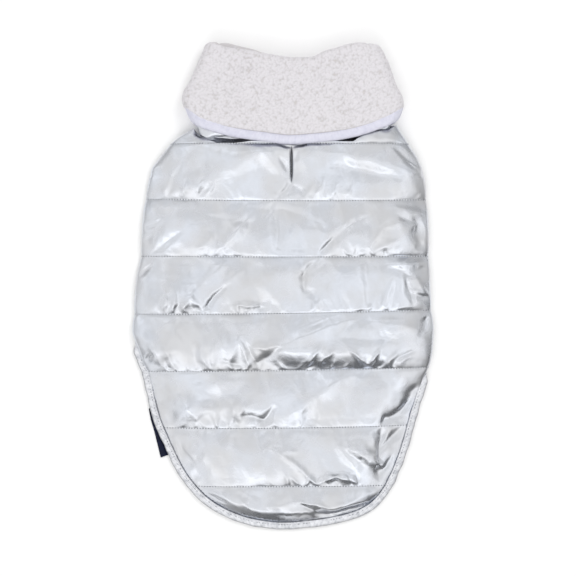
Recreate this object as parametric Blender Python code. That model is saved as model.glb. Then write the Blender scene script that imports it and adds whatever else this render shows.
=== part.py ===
"""A dog's puffer vest of quilted silver foil cloth, laid flat on its belly with the back up.

X runs across the vest, Y from the tail towards the neck, and Z up from the surface that it lies on.
The body is a padded tube pressed flat: the back panel wraps round both sides to the belly panel under
it. The pile-lined collar is a second flat tube, turned down over the neck seam. Lengths in the
constants and tables are millimetres."""

import math
from bisect import bisect_right

import bmesh
import bpy
from mathutils import Vector

MM = 0.001

# Cloth and seams
SEAM_GAP = 0.3  # clearance between two pieces that meet
BELLY_THICKNESS = 6.0
BELLY_NECK_THICKNESS = 4.2  # the padding thins out towards the neck seam
STITCHED_THICKNESS = 4.0  # padded back cloth where a quilting line holds it down
PUFF_HEIGHT = 9.0  # extra height in the middle of a full quilted row
FULL_ROW = 60.0  # length of a row that puffs to its full height
SHORT_ROW_POWER = 0.8  # how fast the puff falls in a shorter row
PUFF_SQUARENESS = 2.4  # a higher value flattens the top of a row
PUFF_ROUNDNESS = 0.75  # a lower value steepens the row beside its stitching
WRAP_WIDTH = 34.0  # back cloth folded under at each side, as far as the belly seam
WRAP_SHARE = 0.3  # its most where the panel is narrow, as a share of the panel's width
ROLL_RADIUS = 18.0  # rounding of a folded side, seen from above
ROLL_UNDER = 6.0  # rounding of its lower half
ROLL_MIDDLE = (0.25, 0.3)  # the point inside that rounding, as shares of its width and of the edge height
HEM_ROLL_RADIUS = 4.0  # rounding of a bound edge
HEM_FADE = 24.0  # distance in which a row's puff dies out towards a bound edge
CREASED_PUFF = 4.0  # padding that takes a crease at its full height
EDGE_LEVEL = 0.42  # height of the outermost line of a side, as a share of the side's thickness

# Neck end, which rides up over the throat side of the collar
LIFT_START = 118.0
LIFT_END = 3.0  # distance from the neck seam where the lift is complete
NECK_LIFT = 6.3

# Rear hem of the belly panel, and the step where the back cloth drops from it to the surface
BELLY_HEM = (-48.0, -40.0, -56.0)  # at the left seam, in the middle and at the right seam
STEP_SIDES = (-163.0, 163.0)  # x of the left side and of the right side
STEP_START = (-58.0, -66.0)  # y at those sides
STEP_LENGTH = 26.0

# Leg openings, cut into both side edges of the belly panel
LEG_OPENING_CENTRE = 85.0
LEG_OPENING_LENGTH = 76.0
LEG_OPENING_DEPTH = 42.0

# Slit for the lead, through the back panel
SLIT_X = 9.2
SLIT_ENDS = (112.0, 150.5)
SLIT_WIDTH = 3.4
SLIT_CUT = (2.0, 40.0)  # lowest and highest z of the cut
SLIT_CURVE_STEPS = 8

# Bindings
HEM_BINDING_WIDTH = 6.0
HEM_BINDING_START = (-60.0, -94.0)  # where it comes out from under the left and the right side
HEM_BINDING_END = (0.15, 0.28)  # its width at either end, and what each point on adds, as shares
BELLY_BINDING_BEVEL = 1.5
COLLAR_BINDING_WIDTH = 8.0

# Collar layers, from the outside of the flattened tube to its middle
COLLAR_HALF = 13.2  # half the thickness of the whole collar
PILE_LEG = 6.0  # pile lining turned to the outside
SHELL_OFFSET = 6.3
SHELL_THICKNESS = 2.0
SHELL_SIDE_INSET = 1.9  # slack of the foil shell inside the lining's folded sides
SHELL_INNER_INSET = 0.8  # the same on the shell's inner face
INNER_LEG_OFFSET = 8.6
INNER_LEG_INSET = 1.6  # slack of the lining's inner leg inside the shell's folded sides
FOLD_RADIUS = 6.1  # of the turned edge, so the lining ends twice this deep
SHELL_DROP = 5.1  # the foil shell sinks this much towards the neck seam
COLLAR_CROWN = 2.0
THROAT_HEM_RISE = 10.0  # the turned-down part is shorter under the throat
THROAT_HEM_SHARE = 0.09  # share of the width in which it rises at either side

# Panel edges from the neck to the tail, inside the hem binding: y, left x, right x
BODY_OUTLINE = (
    (176.0, -93.0, 122.0),
    (171.0, -97.0, 124.5),
    (159.8, -114.5, 131.8),
    (153.4, -122.0, 136.0),
    (140.4, -133.0, 145.0),
    (133.9, -138.0, 148.0),
    (127.4, -142.5, 151.0),
    (114.5, -145.0, 153.3),
    (95.0, -149.0, 155.5),
    (69.0, -152.0, 157.0),
    (36.7, -154.0, 158.0),
    (4.3, -159.0, 159.0),
    (-28.0, -161.5, 161.3),
    (-47.5, -163.0, 163.0),
    (-67.0, -157.3, 162.0),
    (-86.0, -150.6, 159.4),
    (-100.0, -145.9, 152.8),
    (-125.0, -140.8, 144.6),
    (-145.0, -135.4, 138.7),
    (-170.0, -124.7, 130.8),
    (-190.0, -115.1, 123.6),
    (-203.0, -107.4, 118.2),
    (-218.0, -95.8, 110.5),
    (-229.0, -84.9, 102.4),
    (-238.0, -72.5, 93.1),
    (-245.0, -58.1, 79.0),
    (-250.0, -45.8, 61.9),
    (-254.0, -31.6, 40.6),
    (-256.5, -15.6, 19.6),
    (-257.5, -6.0, 9.0),
)

# Quilting lines from the neck to the tail: y at the left edge, in the middle and at the right edge
QUILT_LINES = (
    (153.8, 153.8, 153.8),
    (94.1, 92.2, 93.4),
    (32.4, 31.4, 32.4),
    (-30.5, -29.6, -26.1),
    (-92.6, -91.8, -88.3),
    (-154.2, -154.2, -151.2),
    (-217.8, -217.8, -216.8),
    (-257.5, -257.5, -257.5),
)

# Neck seam: x, y
NECK_SEAM = (
    (-97.0, 171.0),
    (-85.0, 164.5),
    (-60.0, 158.5),
    (-30.0, 155.8),
    (0.0, 155.0),
    (60.0, 157.0),
    (80.0, 160.0),
    (100.0, 166.5),
    (124.5, 174.0),
)

# Largest creases of the back: start x, start y, end x, end y, half width, height (a trough is below 0)
CREASES = (
    (9.2, 150.0, 9.2, 112.0, 10.0, -2.0),
    (6.5, 110.0, -12.0, 87.5, 8.0, -2.5),
    (-5.0, 86.0, -4.0, 41.0, 10.0, -2.0),
    (50.0, 43.0, 24.0, 11.0, 9.0, -3.0),
    (50.0, 52.0, 122.0, 76.0, 12.0, 2.5),
    (96.0, 50.0, 109.0, 71.0, 10.0, 2.0),
    (140.0, 63.0, 152.0, 39.0, 9.0, -4.0),
    (134.0, 2.0, 144.0, -15.0, 9.0, -4.0),
    (-150.0, 57.0, -130.0, 75.0, 8.0, -3.5),
    (-150.0, 29.0, -132.0, 43.0, 8.0, -3.0),
    (-84.0, -26.0, -64.0, -5.0, 8.0, -3.0),
    (-41.0, -61.0, -28.0, -84.0, 8.0, -3.0),
    (-32.0, -86.0, -10.0, -70.0, 8.0, -2.5),
    (140.0, -114.0, 107.0, -150.0, 9.0, -5.0),
    (105.0, -156.0, 105.0, -186.0, 9.0, -4.0),
    (78.0, -175.0, 104.0, -210.0, 9.0, -5.0),
    (40.0, -213.0, 83.0, -207.0, 8.0, -3.0),
    (27.0, -238.0, 51.0, -248.0, 8.0, -3.0),
)

# Sides of the turned-down collar: y, left x, right x
COLLAR_SIDES = (
    (258.0, -85.0, 105.5),
    (250.0, -88.5, 110.0),
    (237.6, -94.0, 115.6),
    (218.0, -101.5, 122.0),
    (198.7, -109.0, 129.6),
    (190.0, -108.0, 130.5),
    (184.0, -104.5, 128.5),
    (171.0, -98.0, 122.0),
)

# Collar folds by the share of its width: share, y of the fold on the back, y of the fold under the throat
COLLAR_FOLDS = (
    (0.00, 257.0, 257.0),
    (0.05, 257.0, 263.5),
    (0.15, 255.5, 260.5),
    (0.25, 252.5, 256.5),
    (0.35, 249.5, 250.5),
    (0.50, 246.0, 243.5),
    (0.62, 246.0, 243.5),
    (0.70, 252.0, 249.0),
    (0.80, 257.5, 254.0),
    (0.90, 263.0, 259.5),
    (0.95, 263.5, 261.0),
    (1.00, 258.0, 258.0),
)

# Bound lower edge of the turned-down collar: x, y
COLLAR_BOUND_EDGE = (
    (-106.0, 182.5),
    (-101.0, 179.0),
    (-95.0, 174.5),
    (-89.6, 171.0),
    (-70.0, 165.6),
    (-46.0, 161.0),
    (-20.0, 156.8),
    (7.6, 154.6),
    (35.0, 157.0),
    (61.6, 162.0),
    (95.0, 168.5),
    (115.0, 173.0),
    (122.0, 177.5),
    (130.0, 182.5),
)

# Troughs in the pile of the collar's upper side, in the columns of CREASES
COLLAR_TROUGHS = (
    (-35.0, 230.0, -38.0, 188.0, 13.0, -3.0),
    (70.0, 224.0, 77.0, 196.0, 12.0, -2.5),
)

# Section of the pile lining: share of the leg below the fold, distance below the fold, offset
PILE_OUTER_LEG = ((1.0, 2.0), (0.97, 0.0), (0.8, 0.0), (0.6, 0.0), (0.4, 0.0), (0.2, 0.0))
PILE_INNER_LEG_SHARES = (0.2, 0.35, 0.5)
PILE_HOLLOW_SHARES = (0.2, 0.4, 0.6, 0.8, 1.0)
FOLD_ARC_STEPS = 6

# Section of the collar binding: distance above its lower edge, offset
COLLAR_BINDING_SECTION = (
    (0.0, 2.0),
    (0.0, 4.0),
    (1.2, 5.6),
    (3.0, 6.0),
    (7.7, 6.0),
    (7.7, 0.0),
    (3.0, 0.0),
    (1.2, 0.4),
)

# Section of the hem binding: distance out from the panel's edge, height
HEM_BINDING_SECTION = (
    (0.3, 0.4),
    (0.3, 4.0),
    (1.6, 5.2),
    (4.4, 5.0),
    (5.8, 3.4),
    (6.0, 1.4),
    (5.0, 0.0),
    (1.2, 0.0),
)

# Folded side tag: x and y of its corners, from the upper end of its seam to the lower end
TAG_INNER_EDGE = ((-145.4, -138.0), (-139.3, -154.0), (-132.8, -170.0), (-124.5, -185.0))
TAG_OUTER_EDGE = ((-146.6, -138.5), (-142.6, -155.0), (-138.8, -171.5), (-134.0, -187.0))
TAG_THICKNESS = 1.6

# How finely the surfaces are divided
ROW_STATIONS = (0.0, 0.08, 0.25, 0.5, 0.75, 0.92)
NECK_ROW_STATIONS = (0.0, 0.5)
TAIL_ROW_STATIONS = (0.0, 0.12, 0.28, 0.45, 0.6, 0.73, 0.84, 0.92, 0.97, 1.0)
EDGE_STEPS = (0.0, 1.5, 4.5, 9.0, 15.0, 22.0)
FULL_WIDTH = 120.0  # the edge steps shrink where the panel is narrower than this
MIDDLE_COLUMNS = 24
WRAP_COLUMNS = 3
UNDERSIDE_COLUMNS = 8
BELLY_COLUMNS = 12
BELLY_STATIONS = (12, 16, 8)  # behind, beside and before the leg openings
COLLAR_COLUMNS = 20
COLLAR_SIDE_STEPS = 5
SHELL_LEVELS = 8
FIRST_TOP = WRAP_COLUMNS + 2  # places of the outermost points in a section of the back panel
LAST_TOP = FIRST_TOP + 2 * len(EDGE_STEPS) + MIDDLE_COLUMNS - 2
SHORTEST_RUN = 2.0  # of the hem binding beside its ends
SMOOTH_ANGLE = math.radians(40)


# Numbers


def blend(start, end, share):
    return start + (end - start) * share


def ease(share):
    """0 to 1 with level ends."""
    share = min(max(share, 0.0), 1.0)
    return share * share * (3.0 - 2.0 * share)


def read_table(table, place, column):
    """A column's value at a place in the first column, on a smooth curve that never overshoots."""
    rows = sorted(table)
    places = [row[0] for row in rows]
    values = [row[column] for row in rows]
    place = min(max(place, places[0]), places[-1])
    index = min(bisect_right(places, place), len(places) - 1) - 1
    steps = [(values[i + 1] - values[i]) / (places[i + 1] - places[i]) for i in range(len(rows) - 1)]

    def slope(i):
        if i == 0 or i == len(rows) - 1:
            return steps[min(i, len(steps) - 1)]
        before = steps[i - 1]
        after = steps[i]
        if before * after <= 0.0:
            return 0.0
        return 2.0 * before * after / (before + after)

    span = places[index + 1] - places[index]
    t = (place - places[index]) / span
    rise = values[index + 1] - values[index]
    bend_in = slope(index) * span - rise
    bend_out = rise - slope(index + 1) * span
    return values[index] + rise * t + t * (1.0 - t) * (bend_in * (1.0 - t) + bend_out * t)


def through_three(values, share):
    """A curve through three values at the shares 0, 0.5 and 1."""
    left, middle, right = values
    sag = middle - 0.5 * (left + right)
    return blend(left, right, share) + 4.0 * sag * share * (1.0 - share)


def crease_height(creases, x, y):
    """The rise, or the fall, that soft creases add at one place."""
    total = 0.0
    for start_x, start_y, end_x, end_y, half_width, height in creases:
        run_x = end_x - start_x
        run_y = end_y - start_y
        length = math.hypot(run_x, run_y)
        along = ((x - start_x) * run_x + (y - start_y) * run_y) / length
        across = ((x - start_x) * run_y - (y - start_y) * run_x) / length
        past_end = max(-along, along - length, 0.0)
        total += height * math.exp(-(across * across + past_end * past_end) / half_width**2)
    return total


# Meshes


def lofted(rings, closed=False):
    """Points and faces of a skin over rings of equal length, with its two ends capped."""
    points = [point for ring in rings for point in ring]
    size = len(rings[0])
    faces = []
    for ring in range(len(rings) if closed else len(rings) - 1):
        this = ring * size
        following = (ring + 1) % len(rings) * size
        for step in range(size):
            after = (step + 1) % size
            faces.append((this + step, this + after, following + after, following + step))
    if not closed:
        faces.append(tuple(range(size)))
        faces.append(tuple(range(len(points) - size, len(points))))
    return points, faces


def make_piece(name, points, faces, material):
    """One closed solid of cloth, from points in millimetres, under the vest's empty."""
    mesh = bpy.data.meshes.new(name)
    mesh.from_pydata([Vector(point) * MM for point in points], [], faces)
    edit = bmesh.new()
    edit.from_mesh(mesh)
    bmesh.ops.remove_doubles(edit, verts=edit.verts, dist=0.01 * MM)
    caps = [face for face in edit.faces if len(face.verts) > 4]
    bmesh.ops.triangulate(edit, faces=caps)
    bmesh.ops.recalc_face_normals(edit, faces=edit.faces)
    edit.to_mesh(mesh)
    edit.free()
    mesh.shade_smooth()
    mesh.set_sharp_from_angle(angle=SMOOTH_ANGLE)
    mesh.materials.append(material)
    piece = bpy.data.objects.new(name, mesh)
    piece.parent = vest
    bpy.context.scene.collection.objects.link(piece)
    return piece


def cloth(name, colour, roughness, metallic):
    material = bpy.data.materials.new(name)
    material.use_nodes = True
    shader = material.node_tree.nodes["Principled BSDF"]
    shader.inputs["Base Color"].default_value = (*colour, 1.0)
    shader.inputs["Roughness"].default_value = roughness
    shader.inputs["Metallic"].default_value = metallic
    return material


# Body


def neck_seam(x):
    return read_table(NECK_SEAM, x, 1)


def line_y(row, share):
    """Y of a quilting line, where line 0 is the neck seam."""
    if row == 0:
        return neck_seam(blend(NECK_SEAM[0][0], NECK_SEAM[-1][0], share))
    return through_three(QUILT_LINES[row - 1], share)


def side_x(y, column):
    return read_table(BODY_OUTLINE, y, column)


def neck_share(x, y):
    """0 where the vest lies on the surface, 1 at the neck seam, which the collar lifts."""
    return ease((y - LIFT_START) / (neck_seam(x) - LIFT_END - LIFT_START))


def body_lift(x, y):
    return NECK_LIFT * neck_share(x, y)


def belly_thickness(x, y):
    return blend(BELLY_THICKNESS, BELLY_NECK_THICKNESS, neck_share(x, y))


def folded_share(x, y):
    """1 where the belly panel is under the back cloth, 0 where the back cloth lies on the surface."""
    left, right = STEP_SIDES
    start = blend(*STEP_START, (x - left) / (right - left))
    return ease((y - start + STEP_LENGTH) / STEP_LENGTH)


def puff(row, part, share):
    """Height of the padding between two quilting lines, at a part of the row from 0 to 1."""
    length = line_y(row, share) - line_y(row + 1, share)
    fullness = min(length / FULL_ROW, 1.0) ** SHORT_ROW_POWER
    return PUFF_HEIGHT * fullness * (1.0 - abs(2.0 * part - 1.0) ** PUFF_SQUARENESS) ** PUFF_ROUNDNESS


def back_section(row, part):
    """Closed outline of the back panel across one station, from the left seam over the top."""
    left_y = blend(line_y(row, 0.0), line_y(row + 1, 0.0), part)
    right_y = blend(line_y(row, 1.0), line_y(row + 1, 1.0), part)
    left = side_x(left_y, 1)
    right = side_x(right_y, 2)
    width = right - left
    scale = min(width / FULL_WIDTH, 1.0)

    def place(x):
        share = (x - left) / width
        return share, blend(line_y(row, share), line_y(row + 1, share), part)

    def rest(x):
        y = place(x)[1]
        return (x, y, body_lift(x, y))

    def under(x):
        y = place(x)[1]
        layer = (belly_thickness(x, y) + SEAM_GAP) * folded_share(x, y)
        return (x, y, body_lift(x, y) + layer)

    def top(x):
        share, y = place(x)
        folded = folded_share(x, y)
        inset = min(x - left, right - x) / scale
        layer = under(x)[2] - body_lift(x, y)
        padding = puff(row, part, share)
        kept = blend(ease(inset / HEM_FADE), 1.0, folded)
        full = layer + STITCHED_THICKNESS + padding * kept
        edge = EDGE_LEVEL * (layer + STITCHED_THICKNESS + padding * folded)
        roll = blend(HEM_ROLL_RADIUS, ROLL_RADIUS, folded)
        rounding = math.sqrt(1.0 - (1.0 - min(inset / roll, 1.0)) ** 2)
        creases = crease_height(CREASES, x, y) * ease(inset / EDGE_STEPS[-1])
        creases *= min(padding / CREASED_PUFF, 1.0)
        return (x, y, body_lift(x, y) + blend(edge, full, rounding) + creases)

    def rolled_under(side, inward):
        """Points from the outermost line of a side, under it and in to the seam."""
        foot = ROLL_UNDER * scale
        x = side + inward * ROLL_MIDDLE[0] * foot
        y = place(x)[1]
        edge_height = top(side)[2] - body_lift(x, y)
        wrap = min(WRAP_WIDTH, WRAP_SHARE * width)
        reaches = [blend(foot, wrap, i / WRAP_COLUMNS) for i in range(WRAP_COLUMNS + 1)]
        middle = (x, y, body_lift(x, y) + ROLL_MIDDLE[1] * edge_height)
        return [middle] + [rest(side + inward * reach) for reach in reaches]

    left_under = rolled_under(left, 1.0)
    right_under = rolled_under(right, -1.0)
    steps = [step * scale for step in EDGE_STEPS]
    inner_left = left + steps[-1]
    inner_right = right - steps[-1]
    columns = [left + step for step in steps]
    columns += [blend(inner_left, inner_right, i / MIDDLE_COLUMNS) for i in range(1, MIDDLE_COLUMNS)]
    columns += [right - step for step in reversed(steps)]
    seams = (right_under[-1][0], left_under[-1][0])
    inside = [under(blend(*seams, i / UNDERSIDE_COLUMNS)) for i in range(UNDERSIDE_COLUMNS + 1)]
    return left_under[::-1] + [top(x) for x in columns] + right_under + inside


def back_sections():
    stations = [(0, part) for part in NECK_ROW_STATIONS]
    last_row = len(QUILT_LINES) - 1
    stations += [(row, part) for row in range(1, last_row) for part in ROW_STATIONS]
    stations += [(last_row, part) for part in TAIL_ROW_STATIONS]
    return [back_section(*station) for station in stations]


def make_back_panel(sections, material):
    """The quilted back, puffed between its stitched lines over a plain inside."""
    panel = make_piece("back_panel", *lofted(sections), material)
    slit = panel.modifiers.new("lead slit", "BOOLEAN")
    slit.operation = "DIFFERENCE"
    slit.object = make_slit_cutter()


def make_slit_cutter():
    """A lens-shaped prism that cuts the slit for the lead through the back panel."""
    middle = 0.5 * sum(SLIT_ENDS)
    half_length = 0.5 * (SLIT_ENDS[1] - SLIT_ENDS[0])
    half_width = 0.5 * SLIT_WIDTH
    outline = []
    for side in (1.0, -1.0):
        for step in range(SLIT_CURVE_STEPS):
            along = side * blend(-1.0, 1.0, step / SLIT_CURVE_STEPS)
            outline.append((SLIT_X + side * half_width * (1.0 - along * along), middle + half_length * along))
    rings = [[(x, y, z) for x, y in outline] for z in SLIT_CUT]
    cutter = make_piece("lead_slit_cutter", *lofted(rings), None)
    cutter.hide_render = True
    cutter.display_type = "WIRE"
    return cutter


def straight_between(points, y):
    """X at a height on a line of straight runs through points that fall in Y."""
    for (x_above, y_above), (x_below, y_below) in zip(points, points[1:]):
        if y >= y_below:
            break
    return blend(x_above, x_below, (y_above - y) / (y_above - y_below))


class BellySeam:
    """Side edges of the belly panel, a seam gap inside the folded-under edges of the back panel."""

    def __init__(self, sections):
        right_seam = LAST_TOP + WRAP_COLUMNS + 2
        self.left_points = [section[0][:2] for section in sections]
        self.right_points = [section[right_seam][:2] for section in sections]

    def left(self, y):
        return straight_between(self.left_points, y) + SEAM_GAP

    def right(self, y):
        return straight_between(self.right_points, y) - SEAM_GAP


def leg_cut(y):
    """How far a leg opening reaches in from the seam."""
    along = (y - LEG_OPENING_CENTRE) / (0.5 * LEG_OPENING_LENGTH)
    if abs(along) >= 1.0:
        return 0.0
    return LEG_OPENING_DEPTH * math.sqrt(1.0 - along * along)


def belly_section(seam, y_at):
    """Closed outline of the belly panel across one station, whose Y depends on the share."""
    left = seam.left(y_at(0.0)) + leg_cut(y_at(0.0))
    right = seam.right(y_at(1.0)) - leg_cut(y_at(1.0))
    lower = []
    upper = []
    for column in range(BELLY_COLUMNS + 1):
        share = column / BELLY_COLUMNS
        x = blend(left, right, share)
        y = y_at(share)
        lift = body_lift(x, y)
        lower.append((x, y, lift))
        upper.append((x, y, lift + belly_thickness(x, y)))
    return lower + upper[::-1]


def make_belly_panel(seam, material):
    """The plain panel under the chest and belly, flat where it rests, with both leg openings."""
    low = LEG_OPENING_CENTRE - 0.5 * LEG_OPENING_LENGTH
    high = LEG_OPENING_CENTRE + 0.5 * LEG_OPENING_LENGTH
    neck_ends = (seam.left_points[0][0], seam.right_points[0][0])

    def behind_legs(level):
        return lambda share: blend(through_three(BELLY_HEM, share), low, level)

    def beside_legs(turn):
        return lambda share: LEG_OPENING_CENTRE - 0.5 * LEG_OPENING_LENGTH * math.cos(turn)

    def before_legs(level):
        return lambda share: blend(high, neck_seam(blend(*neck_ends, share)), level)

    behind, beside, before = BELLY_STATIONS
    stations = [behind_legs(step / behind) for step in range(behind)]
    stations += [beside_legs(math.pi * step / beside) for step in range(beside + 1)]
    stations += [before_legs(step / before) for step in range(1, before + 1)]
    make_piece("belly_panel", *lofted([belly_section(seam, y_at) for y_at in stations]), material)


def make_belly_binding(seam, material):
    """The binding of the belly panel's rear hem."""
    left = max(seam.left(BELLY_HEM[0] - out) for out in (0.0, HEM_BINDING_WIDTH))
    right = min(seam.right(BELLY_HEM[2] - out) for out in (0.0, HEM_BINDING_WIDTH))
    top = BELLY_THICKNESS
    bevel = BELLY_BINDING_BEVEL
    sections = []
    for step in range(BELLY_COLUMNS + 1):
        share = step / BELLY_COLUMNS
        x = blend(left, right, share)
        near = through_three(BELLY_HEM, share) - SEAM_GAP
        far = through_three(BELLY_HEM, share) - HEM_BINDING_WIDTH
        section = [(near, 0.0), (near, top), (far + bevel, top)]
        section += [(far, top - bevel), (far, bevel), (far + bevel, 0.0)]
        sections.append([(x, y, z) for y, z in section])
    make_piece("belly_binding", *lofted(sections), material)


def tail_edge(sections):
    """The back panel's own edge points, from the left start of the hem binding round to the right one."""
    left = [section[FIRST_TOP][:2] for section in sections]
    right = [section[LAST_TOP][:2] for section in sections]
    left_y, right_y = HEM_BINDING_START
    left_start = (straight_between(left, left_y), left_y)
    right_start = (straight_between(right, right_y), right_y)
    left = [point for point in left if point[1] < left_y - SHORTEST_RUN]
    right = [point for point in right if point[1] < right_y - SHORTEST_RUN]
    return [left_start] + left + right[::-1] + [right_start]


def make_hem_binding(sections, material):
    """The rounded binding on the free edge of the tail."""
    edge = tail_edge(sections)
    rings = []
    for index, (x, y) in enumerate(edge):
        before = edge[max(index - 1, 0)]
        after = edge[min(index + 1, len(edge) - 1)]
        run = Vector((after[0] - before[0], after[1] - before[1])).normalized()
        from_end = min(index, len(edge) - 1 - index)
        width = min(HEM_BINDING_END[0] + HEM_BINDING_END[1] * from_end, 1.0)
        ring = []
        for out, height in HEM_BINDING_SECTION:
            reach = SEAM_GAP + (out - SEAM_GAP) * width
            ring.append((x + run.y * reach, y - run.x * reach, height))
        rings.append(ring)
    make_piece("hem_binding", *lofted(rings), material)


def make_side_tag(material):
    """The small folded tag, sewn into the hem seam on the left."""
    outline = TAG_INNER_EDGE + TAG_OUTER_EDGE[::-1]
    rings = [[(x, y, z) for x, y in outline] for z in (0.0, TAG_THICKNESS)]
    make_piece("side_tag", *lofted(rings), material)


# Collar


def collar_ring(y_at, offset, drop=0.0, side_inset=0.0, crowned=False):
    """One loop round the flattened collar, at an offset from its outside.

    y_at(share, back, x) gives its Y, on the back or under the throat. The upper side sinks by the drop,
    and both folded sides stand further in by the side inset."""
    half = COLLAR_HALF - offset - 0.5 * drop
    middle = COLLAR_HALF - 0.5 * drop
    left_side = read_table(COLLAR_SIDES, y_at(0.0, True, COLLAR_SIDES[-1][1]), 1)
    right_side = read_table(COLLAR_SIDES, y_at(1.0, True, COLLAR_SIDES[-1][2]), 2)
    left = left_side + offset + half + side_inset
    right = right_side - offset - half - side_inset
    shares = [column / COLLAR_COLUMNS for column in range(COLLAR_COLUMNS + 1)]
    turns = [math.pi * step / (COLLAR_SIDE_STEPS + 1) for step in range(1, COLLAR_SIDE_STEPS + 1)]
    ring = []
    for share in shares:
        x = blend(left, right, share)
        y = y_at(share, True, x)
        z = middle + half
        if crowned:
            z += COLLAR_CROWN * math.sin(math.pi * share) + crease_height(COLLAR_TROUGHS, x, y)
        ring.append((x, y, z))
    for turn in turns:
        x = right + half * math.sin(turn)
        ring.append((x, y_at(1.0, True, x), middle + half * math.cos(turn)))
    for share in reversed(shares):
        x = blend(left, right, share)
        ring.append((x, y_at(share, False, x), middle - half))
    for turn in turns:
        x = left - half * math.sin(turn)
        ring.append((x, y_at(0.0, True, x), middle - half * math.cos(turn)))
    return ring


def fold_y(share, back):
    return read_table(COLLAR_FOLDS, share, 1 if back else 2)


def bound_edge_y(share, back, x):
    if back:
        return read_table(COLLAR_BOUND_EDGE, x, 1)
    from_side = share * (1.0 - share)
    rise = THROAT_HEM_RISE * min(from_side / THROAT_HEM_SHARE, 1.0)
    return read_table(COLLAR_BOUND_EDGE, x, 1) + rise


def make_collar_lining(material):
    """The pile lining: turned down on the outside, over the fold, and down again inside the neck."""

    def ring(leg_share, below_fold, offset, side_inset=0.0, crowned=False):
        def y_at(share, back, x):
            start = fold_y(share, back) - below_fold
            end = bound_edge_y(share, back, x) + COLLAR_BINDING_WIDTH
            return blend(start, end, leg_share)

        return collar_ring(y_at, offset, side_inset=side_inset, crowned=crowned)

    rings = [ring(share, FOLD_RADIUS, offset, crowned=True) for share, offset in PILE_OUTER_LEG]
    for step in range(FOLD_ARC_STEPS + 1):
        turn = math.pi * step / FOLD_ARC_STEPS
        below = FOLD_RADIUS * (1.0 - math.sin(turn))
        rings.append(ring(0.0, below, FOLD_RADIUS * (1.0 - math.cos(turn))))
    down = PILE_INNER_LEG_SHARES
    rings += [ring(share, FOLD_RADIUS, 2.0 * FOLD_RADIUS, INNER_LEG_INSET) for share in down]
    rings += [ring(share, FOLD_RADIUS, INNER_LEG_OFFSET, INNER_LEG_INSET) for share in reversed(down)]
    rings.append(ring(0.0, PILE_LEG + 1.0, INNER_LEG_OFFSET, INNER_LEG_INSET))
    rings.append(ring(0.0, PILE_LEG + 1.0, PILE_LEG))
    rings += [ring(share, FOLD_RADIUS, PILE_LEG) for share in PILE_HOLLOW_SHARES]
    make_piece("collar_lining", *lofted(rings, closed=True), material)


def make_collar_shell(material):
    """The foil cloth of the collar, between the two legs of the lining, down to the neck seam."""
    top_gap = PILE_LEG + 1.0 + 4.0 * SEAM_GAP

    def ring(level, offset, side_inset):
        def y_at(share, back, x):
            return blend(fold_y(share, back) - top_gap, neck_seam(x) + 3.0 * SEAM_GAP, level)

        return collar_ring(y_at, offset, SHELL_DROP * ease(2.0 * level - 1.0), side_inset)

    levels = [step / SHELL_LEVELS for step in range(SHELL_LEVELS + 1)]
    rings = [ring(level, SHELL_OFFSET, SHELL_SIDE_INSET) for level in levels]
    rings += [ring(level, SHELL_OFFSET + SHELL_THICKNESS, SHELL_INNER_INSET) for level in reversed(levels)]
    make_piece("collar_shell", *lofted(rings, closed=True), material)


def make_collar_binding(material):
    """The binding on the lower edge of the turned-down collar."""
    rings = []
    for above, offset in COLLAR_BINDING_SECTION:
        rings.append(collar_ring(lambda share, back, x: bound_edge_y(share, back, x) + above, offset))
    make_piece("collar_binding", *lofted(rings, closed=True), material)


for leftover in list(bpy.data.objects):
    bpy.data.objects.remove(leftover, do_unlink=True)

vest = bpy.data.objects.new("vest", None)
bpy.context.scene.collection.objects.link(vest)

foil = cloth("silver foil cloth", (0.68, 0.70, 0.73), 0.28, 0.9)
pile = cloth("white pile", (0.80, 0.78, 0.80), 0.95, 0.0)
pale_binding = cloth("pale lilac binding", (0.72, 0.71, 0.84), 0.7, 0.0)
silver_binding = cloth("silver grey binding", (0.66, 0.68, 0.71), 0.45, 0.4)
navy = cloth("navy tag", (0.012, 0.016, 0.04), 0.7, 0.0)

back = back_sections()
belly_seam = BellySeam(back)
make_back_panel(back, foil)
make_belly_panel(belly_seam, foil)
make_belly_binding(belly_seam, silver_binding)
make_hem_binding(back, silver_binding)
make_side_tag(navy)
make_collar_lining(pile)
make_collar_shell(foil)
make_collar_binding(pale_binding)
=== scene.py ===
# %% [markdown]
# # A dog's puffer vest, laid flat
#
# The vest is sewn from silver foil cloth over soft padding. Seven stitched lines cross its back, so the
# padding stands up in rows between them. A wide collar with a curly pile lining is turned down over the
# neck seam, and bindings finish the collar and the tail. The whole vest lies on its belly, and we look
# straight down on it.
#
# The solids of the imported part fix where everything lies. Each piece below repeats the form of its solid
# with a much finer mesh, and adds what makes the cloth real: creases, puckers, stitches and pile.
# Lengths are in millimetres until a mesh is made, which turns them to metres.

import math

import bpy
import bmesh
import numpy as np
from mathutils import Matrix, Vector, noise


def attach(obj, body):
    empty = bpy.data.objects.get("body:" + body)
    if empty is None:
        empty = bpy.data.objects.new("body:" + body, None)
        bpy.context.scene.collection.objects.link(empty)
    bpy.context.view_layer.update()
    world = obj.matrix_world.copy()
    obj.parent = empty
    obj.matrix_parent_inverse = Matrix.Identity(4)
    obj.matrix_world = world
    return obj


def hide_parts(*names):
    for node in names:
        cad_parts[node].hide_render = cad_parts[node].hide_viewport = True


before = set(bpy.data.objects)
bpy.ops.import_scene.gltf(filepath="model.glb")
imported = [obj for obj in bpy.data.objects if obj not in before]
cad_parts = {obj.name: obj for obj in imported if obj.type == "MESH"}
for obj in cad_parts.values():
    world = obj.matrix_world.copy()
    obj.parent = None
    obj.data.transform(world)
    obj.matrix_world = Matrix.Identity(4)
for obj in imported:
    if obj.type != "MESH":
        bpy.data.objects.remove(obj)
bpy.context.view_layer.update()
MM = 0.001
random = np.random.default_rng(7)
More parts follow.
